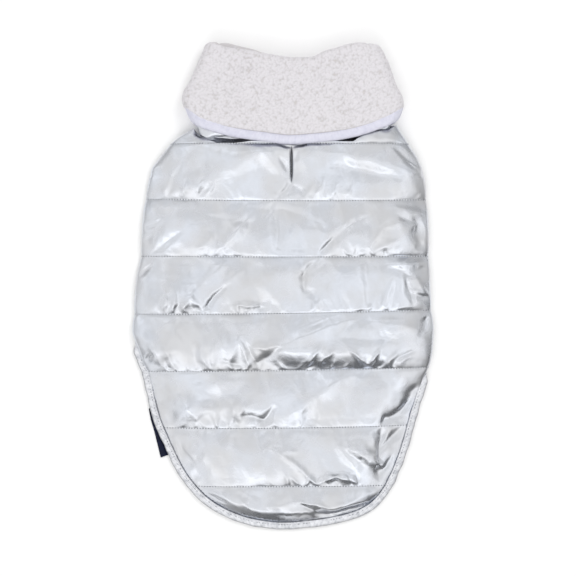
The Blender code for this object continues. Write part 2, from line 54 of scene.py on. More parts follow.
NOISE_SEED = 1795550973  # without it, the noise that bends the creases would start from the clock
noise.seed_set(NOISE_SEED)

# %% [markdown]
# ## Camera, floor and light
#
# The camera hangs straight above the vest with a long lens, so nothing leans away from it. One pixel of
# the square frame is 1.08 mm on the cloth.
#
# Foil cloth is a dull mirror: it shows the room more than it shows itself. So the light is built from
# four things that a product photographer would use: a bright ceiling, a soft box beyond the tail, a
# brighter wall on the left and dark surroundings low down. A slope that leans a little towards the tail
# then mirrors the soft box and turns white, and a steeper one looks past it and turns dark.

# %% Camera
PIXEL = 1.08  # millimetres on the cloth
FRAME_PIXELS = 576
FRAME_ORIGIN = (283, 286)  # the pixel over the vest's origin
FRAME_WIDTH = FRAME_PIXELS * PIXEL
FRAME_CENTRE = ((FRAME_PIXELS / 2 - FRAME_ORIGIN[0]) * PIXEL, (FRAME_ORIGIN[1] - FRAME_PIXELS / 2) * PIXEL)
CLOTH_HEIGHT = 15.0
LENS = 85.0
SENSOR = 36.0

camera = bpy.data.objects.new("camera", bpy.data.cameras.new("camera"))
camera.data.lens = LENS
camera.data.sensor_width = SENSOR
camera_height = FRAME_WIDTH * LENS / SENSOR + CLOTH_HEIGHT
camera.location = (FRAME_CENTRE[0] * MM, FRAME_CENTRE[1] * MM, camera_height * MM)
bpy.context.scene.collection.objects.link(camera)
bpy.context.scene.camera = camera
print("camera", round(camera_height), "mm above the floor")

# %% Nodes and colours


def linear(code):
    """A linear colour from an sRGB hex code."""
    shares = [int(code[i : i + 2], 16) / 255.0 for i in (1, 3, 5)]
    return [s / 12.92 if s <= 0.04045 else ((s + 0.055) / 1.055) ** 2.4 for s in shares]


def link_all(tree, node, sources):
    for socket, source in sources.items():
        tree.links.new(source, node.inputs[socket])


def add_node(tree, kind, sources=None, values=None, **settings):
    """One node with its settings, its unlinked values and its links, by the names of its sockets."""
    node = tree.nodes.new(kind)
    for name, value in settings.items():
        setattr(node, name, value)
    for socket, value in (values or {}).items():
        node.inputs[socket].default_value = value
    link_all(tree, node, sources or {})
    return node


def add_ramp(tree, source, stops):
    """The colour of a ramp. Its stops are pairs of a place and a grey value or an sRGB hex code."""
    node = add_node(tree, "ShaderNodeValToRGB", {"Fac": source})
    elements = node.color_ramp.elements
    while len(elements) < len(stops):
        elements.new(0.5)
    for element, (place, colour) in zip(elements, stops):
        element.position = place
        element.color = (*(linear(colour) if isinstance(colour, str) else [colour] * 3), 1.0)
    return node.outputs["Color"]


def add_range(tree, source, start, end, low, high, kind="LINEAR"):
    """A value that runs from low to high while its source runs from start to end."""
    values = {"From Min": start, "From Max": end, "To Min": low, "To Max": high}
    node = add_node(tree, "ShaderNodeMapRange", {"Value": source}, values, interpolation_type=kind)
    return node.outputs["Result"]


def add_noise(tree, place, size, detail=2.0, **values):
    """A noise value whose patches have about this size in millimetres."""
    values.update(Scale=1.0 / (size * MM), Detail=detail)
    return add_node(tree, "ShaderNodeTexNoise", {"Vector": place}, values).outputs["Fac"]


def add_bump(tree, height, depth, strength=1.0, **sources):
    """The normal that a height of this depth in millimetres makes."""
    sources["Height"] = height
    values = {"Strength": strength, "Distance": depth * MM}
    return add_node(tree, "ShaderNodeBump", sources, values).outputs["Normal"]


def add_scale(tree, vector, factor):
    """A vector or a colour times a value."""
    node = add_node(tree, "ShaderNodeVectorMath", {0: vector, "Scale": factor}, operation="SCALE")
    return node.outputs[0]


def read_attribute(tree, name):
    return add_node(tree, "ShaderNodeAttribute", attribute_name=name).outputs["Fac"]


def new_material(name, constants):
    """A material, its tree, its shader with these constants, and places on the object in metres."""
    material = bpy.data.materials.new(name)
    material.use_nodes = True
    tree = material.node_tree
    shader = tree.nodes["Principled BSDF"]
    for socket, value in constants.items():
        shader.inputs[socket].default_value = value
    return material, tree, shader, add_node(tree, "ShaderNodeTexCoord").outputs["Object"]


# %% Light of the studio
BRIGHTEST = 2.0  # the ramps below hold shares of this
# How bright a side of the room is: height, from the horizon at 0 to straight up at 1, and brightness
TAIL_SIDE = (
    (0.0, 0.05), (0.3, 0.07), (0.44, 0.12), (0.56, 0.31), (0.67, 0.51), (0.77, 0.62), (0.87, 0.61),
    (0.95, 0.54), (1.0, 0.475),
)
OTHER_SIDES = ((0.0, 0.2), (0.2, 0.25), (0.5, 0.36), (0.75, 0.45), (0.93, 0.48), (1.0, 0.475))
LEFT_SIDE = ((0.0, 0.22), (0.2, 0.34), (0.45, 0.46), (0.7, 0.5), (0.93, 0.485), (1.0, 0.475))
TAIL_SIDE_ENDS = (0.05, -0.4)  # y of the direction where the tail's side starts and is full
LEFT_SIDE_ENDS = (-0.15, -0.55)  # x of the direction, for the left side
LEFT_SIDE_MOST = 0.85
PATCH_SHARE = 0.65  # the ceiling is this uneven
PATCH_SCALE = 2.4

world = bpy.data.worlds.new("studio")
world.use_nodes = True
sky = world.node_tree
sky.nodes.clear()
direction = add_node(sky, "ShaderNodeTexCoord").outputs["Generated"]
parts = add_node(sky, "ShaderNodeSeparateXYZ", {"Vector": direction}).outputs


def between_sides(share, first, second):
    node = add_node(sky, "ShaderNodeMix", {0: share, 6: first, 7: second}, data_type="RGBA")
    return node.outputs[2]


towards_tail = add_range(sky, parts["Y"], *TAIL_SIDE_ENDS, 0.0, 1.0, "SMOOTHSTEP")
towards_left = add_range(sky, parts["X"], *LEFT_SIDE_ENDS, 0.0, LEFT_SIDE_MOST, "SMOOTHSTEP")
tail_side, other_sides, left_side = [
    add_ramp(sky, parts["Z"], stops) for stops in (TAIL_SIDE, OTHER_SIDES, LEFT_SIDE)
]
room = between_sides(towards_left, between_sides(towards_tail, other_sides, tail_side), left_side)
patches = add_node(
    sky, "ShaderNodeTexNoise", {"Vector": direction}, {"Scale": PATCH_SCALE, "Detail": 1.0}
).outputs["Fac"]
dimmest_patch = BRIGHTEST * (1.0 - 0.5 * PATCH_SHARE)
brightest_patch = BRIGHTEST * (1.0 + 0.5 * PATCH_SHARE)
strength = add_range(sky, patches, 0.3, 0.7, dimmest_patch, brightest_patch)
background = add_node(sky, "ShaderNodeBackground", {"Color": room, "Strength": strength})
add_node(sky, "ShaderNodeOutputWorld", {"Surface": background.outputs["Background"]})
bpy.context.scene.world = world
bpy.context.scene.view_settings.view_transform = "Standard"


def soft_box(name, place, size, power):
    """A rectangular area light at a place in metres, aimed at the middle of the vest.

    The foil doesn't mirror it: it lights the pile, the tapes and the floor alone."""
    light = bpy.data.lights.new(name, "AREA")
    light.shape = "RECTANGLE"
    light.size, light.size_y = size
    light.energy = power
    lamp = bpy.data.objects.new(name, light)
    lamp.location = place
    lamp.visible_glossy = False
    lamp.rotation_euler = (-Vector(place)).to_track_quat("-Z", "Y").to_euler()
    bpy.context.scene.collection.objects.link(lamp)


soft_box("box_beyond_tail", (-0.2, -1.25, 1.35), (1.3, 0.5), 4.6)
soft_box("box_over_neck", (0.9, 1.1, 1.6), (0.9, 0.6), 8.2)

# %% Floor
FLOOR_SIZE = 9.0  # metres
FLOOR_PLAIN = "#fbfbfb"

half = FLOOR_SIZE / 2
corners = [(x * half, y * half, 0) for x, y in ((-1, -1), (1, -1), (1, 1), (-1, 1))]
floor_mesh = bpy.data.meshes.new("floor")
floor_mesh.from_pydata(corners, [], [(0, 1, 2, 3)])
floor = bpy.data.objects.new("floor", floor_mesh)
paper_look = {"Base Color": (*linear(FLOOR_PLAIN), 1.0), "Roughness": 0.9}
floor_mesh.materials.append(new_material("white_backdrop_paper", paper_look)[0])
bpy.context.scene.collection.objects.link(floor)

# %% [markdown]
# ## The form of the body
#
# The body is a padded tube pressed flat. Short tables give its sides, its quilting lines and its neck
# seam, and smooth curves run through them. They keep within about two millimetres of the solid's driving
# sizes, and within five at the neck seam, so the fine cloth lies where the solid is.

# %% Curves through short tables


def blend(start, end, share):
    return start + (end - start) * share


def ease(share):
    """0 to 1 with level ends."""
    share = np.clip(share, 0.0, 1.0)
    return share * share * (3.0 - 2.0 * share)


def read_table(table, place, column):
    """A column's values at places in the first column, on a smooth curve that never overshoots."""
    rows = np.array(sorted(table))
    places = rows[:, 0]
    values = rows[:, column]
    steps = np.diff(values) / np.diff(places)
    before = steps[:-1]
    after = steps[1:]
    same_way = before * after > 0.0
    inner = np.where(same_way, 2.0 * before * after / np.where(same_way, before + after, 1.0), 0.0)
    slopes = np.concatenate((steps[:1], inner, steps[-1:]))
    place = np.clip(place, places[0], places[-1])
    index = np.clip(np.searchsorted(places, place, side="right") - 1, 0, len(places) - 2)
    span = places[index + 1] - places[index]
    t = (place - places[index]) / span
    rise = values[index + 1] - values[index]
    bend_in = slopes[index] * span - rise
    bend_out = rise - slopes[index + 1] * span
    return values[index] + rise * t + t * (1.0 - t) * (bend_in * (1.0 - t) + bend_out * t)


def through_three(values, share):
    """A curve through three values at the shares 0, 0.5 and 1."""
    left, middle, right = values
    return blend(left, right, share) + 4.0 * (middle - 0.5 * (left + right)) * share * (1.0 - share)


# %% Sizes of the body
SEAM_GAP = 0.3
BELLY_THICKNESS = 6.0
BELLY_NECK_THICKNESS = 4.2
STITCHED_THICKNESS = 4.0
VALLEY_LIFT = 4.6  # the stitched lines lie higher where the padding holds them up
PUFF_HEIGHT = 3.0
LINE_GROOVE = 0.55  # the thread sinks this much into the cloth
LINE_GROOVE_WIDTH = 1.5
PUFF_UNEVEN = 0.5  # the padding swells and thins by this share over PUFF_PATCH
PUFF_PATCH = 55.0
FULL_ROW = 60.0  # a shorter row is less plump
SHORT_ROW_POWER = 0.8
PUFF_SQUARENESS = 2.1  # 2 is a round section, more is flatter on top
WRAP_WIDTH = 34.0  # the sides wrap under by this much, or by this share of a narrow place
WRAP_SHARE = 0.3
ROLL_RADIUS = 18.0
ROLL_UNDER = 6.0
HEM_ROLL_RADIUS = 6.5
HEM_FADE = 36.0  # the padding reaches its full height this far in from the tail's edge
TAIL_FADE = 14.5  # the round end of the tail is plumper
TAIL_FADE_ZONE = (-206.0, -228.0)
CREASED_PUFF = 1.6  # creases have their full height where the padding is this high
EDGE_LEVEL = 0.42  # the outermost line lies at this share of the edge's thickness
LIFT_START = 118.0  # the collar lifts the vest from this y, and in full just below the neck seam
LIFT_END = 3.0
NECK_LIFT = 6.3
BELLY_HEM = (-48.0, -40.0, -56.0)  # y at the left seam, in the middle and at the right seam
# The belly panel ends under the fourth row, and the back steps down behind it: x of the sides, y of the
# start at both sides, and the length of the slope
STEP_SIDES = (-163.0, 163.0)
STEP_START = (-64.0, -73.0)
STEP_LENGTHS = (  # x, length
    (-163, 68), (-70, 58), (-34, 34), (-16, 20), (78, 20), (98, 25), (116, 38), (135, 58), (163, 64),
)
SLIT_X = 9.2
SLIT_ENDS = (112.0, 150.5)
SLIT_WIDTH = 1.8
SLIT_FLOOR_GAP = 0.1  # its lips nearly meet inside

# Panel edges from the neck to the tail: y, left x, right x
BODY_OUTLINE = (
    (176, -93, 122), (171, -97, 124.5), (159.8, -114.5, 131.8), (153.4, -122, 136), (140.4, -133, 145),
    (133.9, -138, 148), (127.4, -142.5, 151), (114.5, -145, 153.3), (95, -149, 155.5), (69, -152, 157),
    (36.7, -154, 158), (4.3, -159, 159), (-28, -161.5, 161.3), (-47.5, -163, 163), (-67, -157.3, 162),
    (-86, -150.6, 159.4), (-100, -145.9, 152.8), (-125, -140.8, 144.6), (-145, -135.4, 138.7),
    (-170, -124.7, 132), (-190, -115.4, 125.2), (-203, -108.2, 119.8), (-218, -97, 112.4),
    (-229, -86.6, 104.6), (-238, -74.6, 95.4), (-246, -60, 80.8), (-251.2, -47, 63.6), (-255.4, -32, 41.6),
    (-257.9, -15.8, 20), (-258.9, -6, 9),
)

# Quilting lines from the neck to the tail: y at the left edge, in the middle and at the right edge
QUILT_LINES = (
    (153.8, 153.8, 153.8), (94.1, 92.2, 93.4), (32.4, 31.4, 32.4), (-30.5, -29.6, -26.1),
    (-92.6, -91.8, -88.3), (-154.2, -154.2, -151.2), (-217.8, -217.8, -216.8), (-258.9, -258.9, -258.9),
)

# Neck seam: x, y
NECK_SEAM = (
    (-97, 171), (-93, 165.4), (-86, 160.8), (-76, 156.6), (-69, 154.3), (-46, 154.2), (-38, 155.6),
    (-28, 157.8), (-10, 156.8), (0, 155.2), (56, 157.4), (64, 156.4), (76, 156), (83, 160.4), (92, 164.4),
    (104, 167.6), (112, 169), (124.5, 174),
)


def neck_seam(x):
    return read_table(NECK_SEAM, x, 1)


def line_y(row, share):
    """Y of a quilting line, where line 0 is the neck seam."""
    if row == 0:
        return neck_seam(blend(NECK_SEAM[0][0], NECK_SEAM[-1][0], share))
    return through_three(QUILT_LINES[row - 1], share)


def neck_share(x, y):
    """0 where the vest lies on the surface, 1 at the neck seam, which the collar lifts."""
    return ease((y - LIFT_START) / (neck_seam(x) - LIFT_END - LIFT_START))


def body_lift(x, y):
    return NECK_LIFT * neck_share(x, y)


def belly_thickness(x, y):
    return blend(BELLY_THICKNESS, BELLY_NECK_THICKNESS, neck_share(x, y))


def folded_share(x, y):
    """1 where the belly panel is under the back cloth, 0 where the back cloth lies on the surface."""
    left, right = STEP_SIDES
    start = blend(*STEP_START, (x - left) / (right - left))
    length = read_table(STEP_LENGTHS, x, 1)
    return ease((y - start + length) / length)


print("body from y", QUILT_LINES[-1][1], "to", NECK_SEAM[-1][1], "mm")

# %% [markdown]
# ## Creases and puckers
#
# Foil cloth doesn't fold softly: it breaks into facets with sharp edges. The large creases are listed
# one by one, each from a start to an end, with its half width, its height (a trough is below 0) and its
# sharpness. A soft one has a bell-shaped section, a sharp one comes to an edge.
#
# Puckers are another thing. The thread draws the cloth in, so it gathers into short tucks that fan out
# from each stitched line. They are many and uneven, so a seeded random draw places them, and a short
# table says where they crowd together.

# %% Large creases of the back
# In pixels of the frame: start x, start y, end x, end y. In millimetres: half width, height. Then the
# sharpness and the lean: how much wider it is on the right of its direction than on the left. Where the
# last ones are left out, they are 0
CREASES_IN_FRAME = (
    # lead slit
    (291.5, 147, 291.5, 182, 9, -1.5), (289.5, 184, 271, 206, 3.5, -2.4, 0.8, -0.5),
    (271, 206, 266, 216, 3, -1.2, 0.6, -0.4), (293, 185, 305, 196, 3, -1.5, 0.7),
    (281, 160, 288, 170, 2.5, -1.4, 0.7), (297, 152, 293, 160, 2.5, -1.2, 0.7),
    # first full row, left
    (272, 146, 196, 185, 14, 3.2, 0.1, 0.2), (173, 172, 161.5, 197, 4, 1.5, 0.5),
    (181, 165, 168, 195, 5, -1.1, 0.4), (186, 184, 183, 198, 3.5, 1.3, 0.6),
    (200, 182, 196, 198, 3.5, 1.4, 0.6), (213, 184, 206, 198, 3.5, 1.2, 0.6),
    (262, 152, 280, 172, 8, 1.5, 0.2),
    # first full row, right
    (324, 150, 424, 174, 8, 1.4, 0.1), (333, 166, 398, 178, 7, -1.3, 0.1),
    (394, 149, 421, 170, 4.5, -2.2, 0.5, -0.5), (312, 186, 306, 197, 3.5, 1.2, 0.6),
    (322, 183, 314, 198, 3.5, 1.2, 0.6), (336, 186, 330, 198, 3.5, 1.2, 0.6),
    (352, 190, 346, 199, 3, 0.9, 0.6),
    # second row, left
    (141, 229, 160, 221, 4, -2.6, 0.7, 0.6), (141, 244, 151, 236, 4, -2.2, 0.6, 0.4),
    (154, 252, 178, 234, 4.5, -1.8, 0.4, 0.3), (167, 249, 181, 235, 4, 1, 0.3),
    (222, 246, 246, 221, 8, 3, 0.2), (200, 247, 214, 236, 4, 1.1, 0.3), (213, 217, 248, 221, 5, -1.1, 0.3),
    (278, 207, 279, 246, 7, -1.9, 0.2),
    # second row, right
    (287, 211, 322, 226, 5, -1.3, 0.3), (368, 217, 347, 228, 5, -1.4, 0.3, -0.3),
    (348, 227, 329, 243, 4, -1.8, 0.5, -0.4), (330, 242, 317, 257, 3.5, -2.2, 0.7, -0.5),
    (371, 244, 384, 229, 4.5, 1.7, 0.6), (384, 229, 404, 220, 4.5, 1.7, 0.6),
    (377, 251, 393, 243, 5, 1.3, 0.4), (416, 223, 419, 243, 8, -4.4, 0.3, -0.6),
    (399, 208, 424, 215, 5, 1.6, 0.5), (400, 216, 416, 222, 4, -1.6, 0.6),
    # third row, left
    (139, 275, 151, 266, 3.5, -2.6, 0.7, 0.5), (222, 289, 198, 316, 3.2, -3, 0.8, -0.6),
    (163, 312, 165, 297, 4.5, 2.4, 0.5), (176, 296, 170, 314, 3.4, 2.2, 0.7),
    (180, 313, 191, 296, 4.5, 2.9, 0.6, 0.3), (191, 296, 202, 310, 4, 2.4, 0.6),
    (179, 304, 174, 312, 2.5, -1.4, 0.6), (230, 313, 238, 306, 4, 2.2, 0.5),
    (238, 306, 262, 305, 4.5, 2.4, 0.4), (263, 303, 259, 312, 2.6, -1.3, 0.6),
    (269, 303, 267, 313, 2.8, 1, 0.8), (203, 285, 225, 260, 7, 1.8, 0.2), (226, 282, 240, 273, 5, 1.1, 0.3),
    (158, 279, 200, 285, 6, -0.9, 0.2),
    # third row, right
    (322, 256, 303, 275, 4.5, -2.4, 0.4, -0.3), (303, 272, 305, 289, 4, -1.5, 0.4),
    (305, 288, 314, 297, 4, -1.1, 0.4), (398, 262, 416, 262, 8, 2.6), (393, 268, 410, 276, 4, -1.5, 0.4),
    (410, 276, 425, 268, 4, -1.3, 0.4), (407, 281, 412, 300, 4.5, -3.2, 0.6),
    (416, 279, 428, 293, 4, 2.2, 0.7), (428, 294, 412, 291, 3.5, 1.7, 0.7),
    (416, 294, 428, 297, 4, -1.5, 0.5), (381, 309, 390, 288, 4, 1.2, 0.4),
    (396, 285, 392, 305, 4, -0.9, 0.4), (365, 262, 368, 300, 6, -0.9, 0.1),
    (353, 311, 372, 307, 3, 1.3, 0.6), (398, 310, 411, 306, 2.5, 1.6, 0.7), (321, 300, 312, 311, 5, 1, 0.3),
    # fourth row, left
    (140, 364, 151, 355, 3, -2.2, 0.8, 0.3), (146, 351, 172, 351, 10, 1.8),
    (150, 344, 160, 365, 5, 1.5, 0.4), (165, 348, 171, 367, 4.5, 1.2, 0.4),
    (180, 334, 200, 367, 6, -1.3, 0.2), (206, 346, 238, 344, 11, 1.6), (201, 350, 205, 364, 5, 1.5, 0.4),
    (214, 348, 212, 368, 5, 1.4, 0.4), (236, 342, 228, 364, 6, 1.8, 0.4),
    (224, 362, 246, 367, 3, -1.4, 0.5), (244, 343, 257, 364, 3.5, -1.9, 0.7),
    (239, 343, 249, 364, 3, 1.6, 0.8), (257, 363, 276, 350, 5, -2, 0.5),
    (254, 348, 279, 346, 3.5, 1.8, 0.6), (175, 320, 168, 335, 5, -0.9, 0.3),
    # fourth row, right
    (289, 342, 356, 317, 8, 1.9, 0.3), (300, 329, 330, 318, 5, -0.9, 0.3),
    (376, 321, 408, 328, 8, 1.9, 0.1), (348, 337, 393, 340, 7, -1.2, 0.1),
    (421, 333, 431, 315, 5, -3.4, 0.4), (306, 366, 316, 354, 3.4, 2.2, 0.7),
    (320, 367, 331, 353, 3, 1.8, 0.8), (350, 351, 370, 368, 2.8, 2.6, 0.8),
    (370, 368, 379, 352, 2.8, 2.4, 0.8), (384, 366, 397, 353, 4, 1.8, 0.6),
    (400, 358, 416, 351, 3, -1.4, 0.5), (396, 366, 410, 358, 5, 1.6, 0.3),
    # fifth row, left
    (141, 373, 168, 393, 6, -1.3, 0.2), (172, 409, 203, 409, 12, 3), (174, 425, 188, 410, 5, 1.1, 0.1),
    (188, 410, 203, 425, 5, 1, 0.1), (220, 409, 245, 409, 12, 3), (214, 409, 217, 428, 5, 1.2, 0.3),
    (232, 407, 234, 428, 5, 1.3, 0.3), (243, 411, 240, 426, 4.5, 1.2, 0.4),
    (271, 411, 259, 428, 6, -3.2, 0.3, -0.3), (245, 418, 263, 420, 3.5, -1.6, 0.5),
    (200, 388, 240, 382, 9, 1, 0.1),
    # fifth row, right
    (294, 413, 346, 374, 9, 2.2, 0.3), (318, 402, 319, 427, 5, 1.1, 0.3), (303, 411, 299, 428, 4, 1.1, 0.4),
    (355, 376, 352, 410, 8, -0.9, 0.2), (422, 388, 404, 409, 9, -2.6, 0.1, -0.2),
    (405, 408, 379, 430, 7.5, -2.7, 0.2, -0.4), (411, 392, 424, 386, 4, -1.6, 0.5),
    (418, 402, 408, 420, 3.5, 1.6, 0.4),
    # sixth row, left
    (180, 446, 181, 464, 3, -0.8, 0.6), (173, 441, 180, 459, 3, 1, 0.6), (185, 449, 194, 461, 4, 1.8, 0.4),
    (235, 440, 232, 480, 9, -0.9, 0.1), (205, 455, 190, 475, 6, 0.9, 0.3),
    # sixth row, right
    (384, 421, 379, 457, 5.5, -4.2, 0.3, -0.4), (407, 421, 386, 446, 6, -3.4, 0.3),
    (392, 429, 383, 447, 2.6, 1.6, 0.6), (350, 448, 372, 455, 6.5, 3.6), (362, 457, 380, 465, 6, 3.6),
    (379, 466, 380, 481, 4.5, -2.8, 0.4), (383, 473, 391, 460, 3.5, -2.2, 0.6),
    (274, 449, 293, 452, 5, 1.6, 0.3), (275.6, 451, 314, 482, 4, 2.2, 0.8),
    (322, 483, 336, 477, 4.5, 4.4, 0.3), (336, 477, 358, 483, 4.5, 4.2, 0.3),
    (337, 443, 352, 466, 6, 1.7, 0.3),
    # tail
    (304, 504, 328, 509, 4, 2.6, 0.4), (309, 509, 333, 517, 6, -3.8, 0.4),
    (272, 507, 306, 502, 6, 1.5, 0.3), (334, 510, 366, 502, 4.5, 1.8, 0.4),
    (205, 494, 225, 503, 4, -1.6, 0.6), (240, 500, 246, 508, 4, 1.2, 0.4), (332, 514, 371, 505, 4, -3, 0.4),
)


def from_frame(rows):
    """The same rows with their places in millimetres on the cloth."""
    placed = []
    for start_x, start_y, end_x, end_y, *form in rows:
        xs = [(x - FRAME_ORIGIN[0]) * PIXEL for x in (start_x, end_x)]
        ys = [(FRAME_ORIGIN[1] - y) * PIXEL for y in (start_y, end_y)]
        placed.append((xs[0], ys[0], xs[1], ys[1], *form))
    return tuple(placed)


BACK_CREASES = from_frame(CREASES_IN_FRAME)

# Where the neck seam is drawn in: the same columns
NECK_FOLDS = (
    (-3, 152.4, 7, 150.6, 2.5, -2, 0.3), (12, 150.6, 23, 152.4, 2.5, -2, 0.3),
    (-98, 171, -90, 162, 3.2, -2.6, 0.4), (86, 163, 104, 170, 6, 1.2, 0.1),
)

# Where the collar's shell sinks behind the neck seam and a dark gap shows: the same columns
SHELL_FOLDS = (
    (-76, 158.5, -40, 156.8, 5, -5.4, 0.2), (62, 157.6, 74, 157.8, 4, -5, 0.2),
    (-98, 171, -90, 162, 3.2, -2.6, 0.4),
)

# Creases aren't straight: how far they stray, over what distance
CREASE_WANDER = ((2.6, 17.0), (0.8, 6.0))
SPINDLE_LEAST = 0.35  # a crease thins and sinks to this share at its ends


def wandered(x, y):
    """Places moved by a smooth noise, so that what is drawn straight comes out bent."""
    moved_x = x.copy()
    moved_y = y.copy()
    for reach, size in CREASE_WANDER:
        stray = np.array([noise.noise_vector((a / size, b / size, reach)) for a, b in zip(x, y)])
        moved_x += reach * stray[:, 0]
        moved_y += reach * stray[:, 1]
    return moved_x, moved_y


def crease_height(creases, x, y):
    """The rise, or the fall, that creases add at each place. Each is a spindle that thins to its ends."""
    total = np.zeros_like(x)
    moved_x, moved_y = wandered(x, y)
    for crease in creases:
        start_x, start_y, end_x, end_y, half_width, height, sharpness, lean = (*crease, 0.0, 0.0)[:8]
        run_x = end_x - start_x
        run_y = end_y - start_y
        length = math.hypot(run_x, run_y)
        along = ((moved_x - start_x) * run_x + (moved_y - start_y) * run_y) / length
        across = ((moved_x - start_x) * run_y - (moved_y - start_y) * run_x) / length
        swell = np.sin(math.pi * blend(0.1, 0.9, np.clip(along / length, 0.0, 1.0)))
        spindle = blend(SPINDLE_LEAST, 1.0, swell)
        width = half_width * spindle * (1.0 + 0.6 * lean * np.sign(across))
        past_end = np.maximum(np.maximum(-along, along - length), 0.0)
        away = np.hypot(across / width, past_end / half_width)
        total += height * spindle * blend(np.exp(-away * away), np.exp(-1.2 * away), sharpness)
    return total


# %% Puckers beside the stitched lines
PUCKER_SPAN = 165.0  # they are drawn this far to the left and right
PUCKER_SPACING = 9.0
PUCKER_STRAY = (0.45, 1.55)
PUCKER_LENGTH = (9.0, 26.0)
PUCKER_HALF_WIDTH = (1.8, 4.5)
PUCKER_HEIGHT = 0.3
PUCKER_SPREAD = (0.3, 1.3)
PUCKER_SIGNS = (1.0, 1.0, -1.0)  # one in three is a trough
PUCKER_SLANT = 0.45  # sideways run for each millimetre away from the line
PUCKER_PLAIN = {1: 0.7, -1: 0.55}  # how many times as high where they don't crowd, by side

# Where puckers crowd: line, 1 towards the neck or -1 towards the tail, from x, to x, how many times as high
PUCKER_CROWDS = (
    (3, 1, -125, -20, 1.2), (4, 1, -135, -90, 2.2), (4, 1, -130, -40, 3.2), (4, 1, -40, 130, 1.6),
    (5, 1, -135, -35, 3.2), (5, 1, -35, 125, 3), (6, 1, -125, -15, 2.2), (6, 1, -15, 60, 1.8),
    (7, 1, 0, 90, 3.2), (2, 1, -110, -40, 1.1), (2, 1, 10, 60, 1.8), (3, 1, 50, 130, 2.2),
    (8, 1, 10, 90, 2),
)


def draw_puckers():
    """One tuple for each pucker: line, side, x at the line, length, half width, height and slant."""
    puckers = []
    for line in range(1, len(QUILT_LINES) + 1):
        for side in (1, -1):
            x = -PUCKER_SPAN
            while x < PUCKER_SPAN:
                x += PUCKER_SPACING * random.uniform(*PUCKER_STRAY)
                crowd = [row[4] for row in PUCKER_CROWDS if row[:2] == (line, side) and row[2] < x < row[3]]
                strength = max(crowd, default=PUCKER_PLAIN[side])
                spread = random.uniform(*PUCKER_SPREAD)
                height = PUCKER_HEIGHT * strength * spread * random.choice(PUCKER_SIGNS)
                length = random.uniform(*PUCKER_LENGTH)
                slant = random.normal(0.0, PUCKER_SLANT)
                puckers.append((line, side, x, length, random.uniform(*PUCKER_HALF_WIDTH), height, slant))
    return puckers


PUCKERS = draw_puckers()


def pucker_height(row, x, y, above, below):
    """What the puckers of a row's two lines add. Above and below are the distances to those lines."""
    total = np.zeros_like(x)
    for line, side, start, length, half_width, height, slant in PUCKERS:
        if (line, side) == (row, -1):
            away = above
        elif (line, side) == (row + 1, 1):
            away = below
        else:
            continue
        part = np.clip(away / length, 0.0, 1.0)
        swell = np.sin(math.pi * part**0.6) * (1.0 - part)
        across = (x - start - slant * away) / (half_width * (0.5 + part))
        total += 1.6 * height * swell * np.exp(-np.abs(across) ** 1.4)
    return total


print(len(BACK_CREASES), "large creases,", len(PUCKERS), "puckers")

# %% Uneven foil
# Soft unevenness of padding and facets of foil: size across, size along, height, how sharp its edges are
UNEVENNESS = ((52, 56, 2.6, 0), (22, 50, 1.3, 0.4), (10, 18, 0.07, 1))
UNEVEN_SLANT = 0.35


def uneven_height(x, y, row):
    """Noise with a soft part and a ridged part. Each row has its own, because its stitches part them."""
    total = np.zeros_like(x)
    for index, (across, along, height, ridged) in enumerate(UNEVENNESS):
        layer = np.full_like(x, 3.7 * row + 11.0 * index)
        points = np.column_stack(((x + UNEVEN_SLANT * y) / across, y / along, layer))
        values = np.array([noise.noise(point) for point in points.tolist()])
        total += height * blend(values, 0.5 - 2.0 * np.abs(values), ridged)
    return total


# %% [markdown]
# ## The quilted back
#
# The back panel is a ring of points at each station from the neck to the tail: up over the left side,
# across the top, round the right side and back along the plain inside. The rings are joined by
# quadrilaterals and closed at both ends. The lead slit is made in the same net: one line of points is
# doubled and pulled apart, and short walls join the two lips to the inside.

# %% Stations and columns
STATION_PITCH = 1.3
EDGE_ZONE = 22.0
EDGE_COLUMNS = 16
MIDDLE_COLUMNS = 98  # on either side of the slit
TAIL_STATIONS = 60
FULL_WIDTH = 120.0  # the edge zone shrinks where the panel is narrower than this
ROLL_STEPS = 6
WRAP_STEPS = 5
INSIDE_STEPS = 6  # on either side of the slit
SIDE_BULGE = 0.9  # the sides stand out a little between the quilting lines
SIDE_PINCH = 0.7
EDGE_CROWDING = 1.6  # columns and stations lie closer at the sides and beside the lines
LINE_CROWDING = 0.35
STITCH_CLEAR = 2.0  # puckers start this far from the thread
FOLD_FADE = 9.0  # creases and puckers fade out this near to a side
NECK_FOLD_FADE = 6.0
HEM_ZONE = -100.0  # the round of the tail is below this

tail_left = np.array([(row[1], row[0]) for row in BODY_OUTLINE if row[0] < HEM_ZONE])
tail_right = np.array([(row[2], row[0]) for row in BODY_OUTLINE if row[0] < HEM_ZONE])
tail_corners = np.concatenate((tail_left, tail_right[::-1]))
tail_shares = np.linspace(0, 1, 12)[:, None]
TAIL_EDGE = np.concatenate([blend(a, b, tail_shares) for a, b in zip(tail_corners, tail_corners[1:])])


def row_stations(row):
    """The parts of a row, from 0 at its line to just before 1 at the next, closer beside the lines.

    In the last row they crowd towards the round end of the tail."""
    if row == len(QUILT_LINES) - 1:
        return 1.0 - (1.0 - np.arange(TAIL_STATIONS) / TAIL_STATIONS) ** 2
    length = float(line_y(row, 0.0) - line_y(row + 1, 0.0))
    count = max(int(round(length / STATION_PITCH)), 6)
    even = np.arange(count) / count
    return even - LINE_CROWDING * np.sin(2.0 * math.pi * even) / (2.0 * math.pi)


def puff_share(row, part, share):
    """Height of the padding between two quilting lines as a share of a full row's."""
    length = line_y(row, share) - line_y(row + 1, share)
    fullness = np.minimum(length / FULL_ROW, 1.0) ** SHORT_ROW_POWER
    return fullness * (1.0 - np.abs(2.0 * part - 1.0) ** PUFF_SQUARENESS)


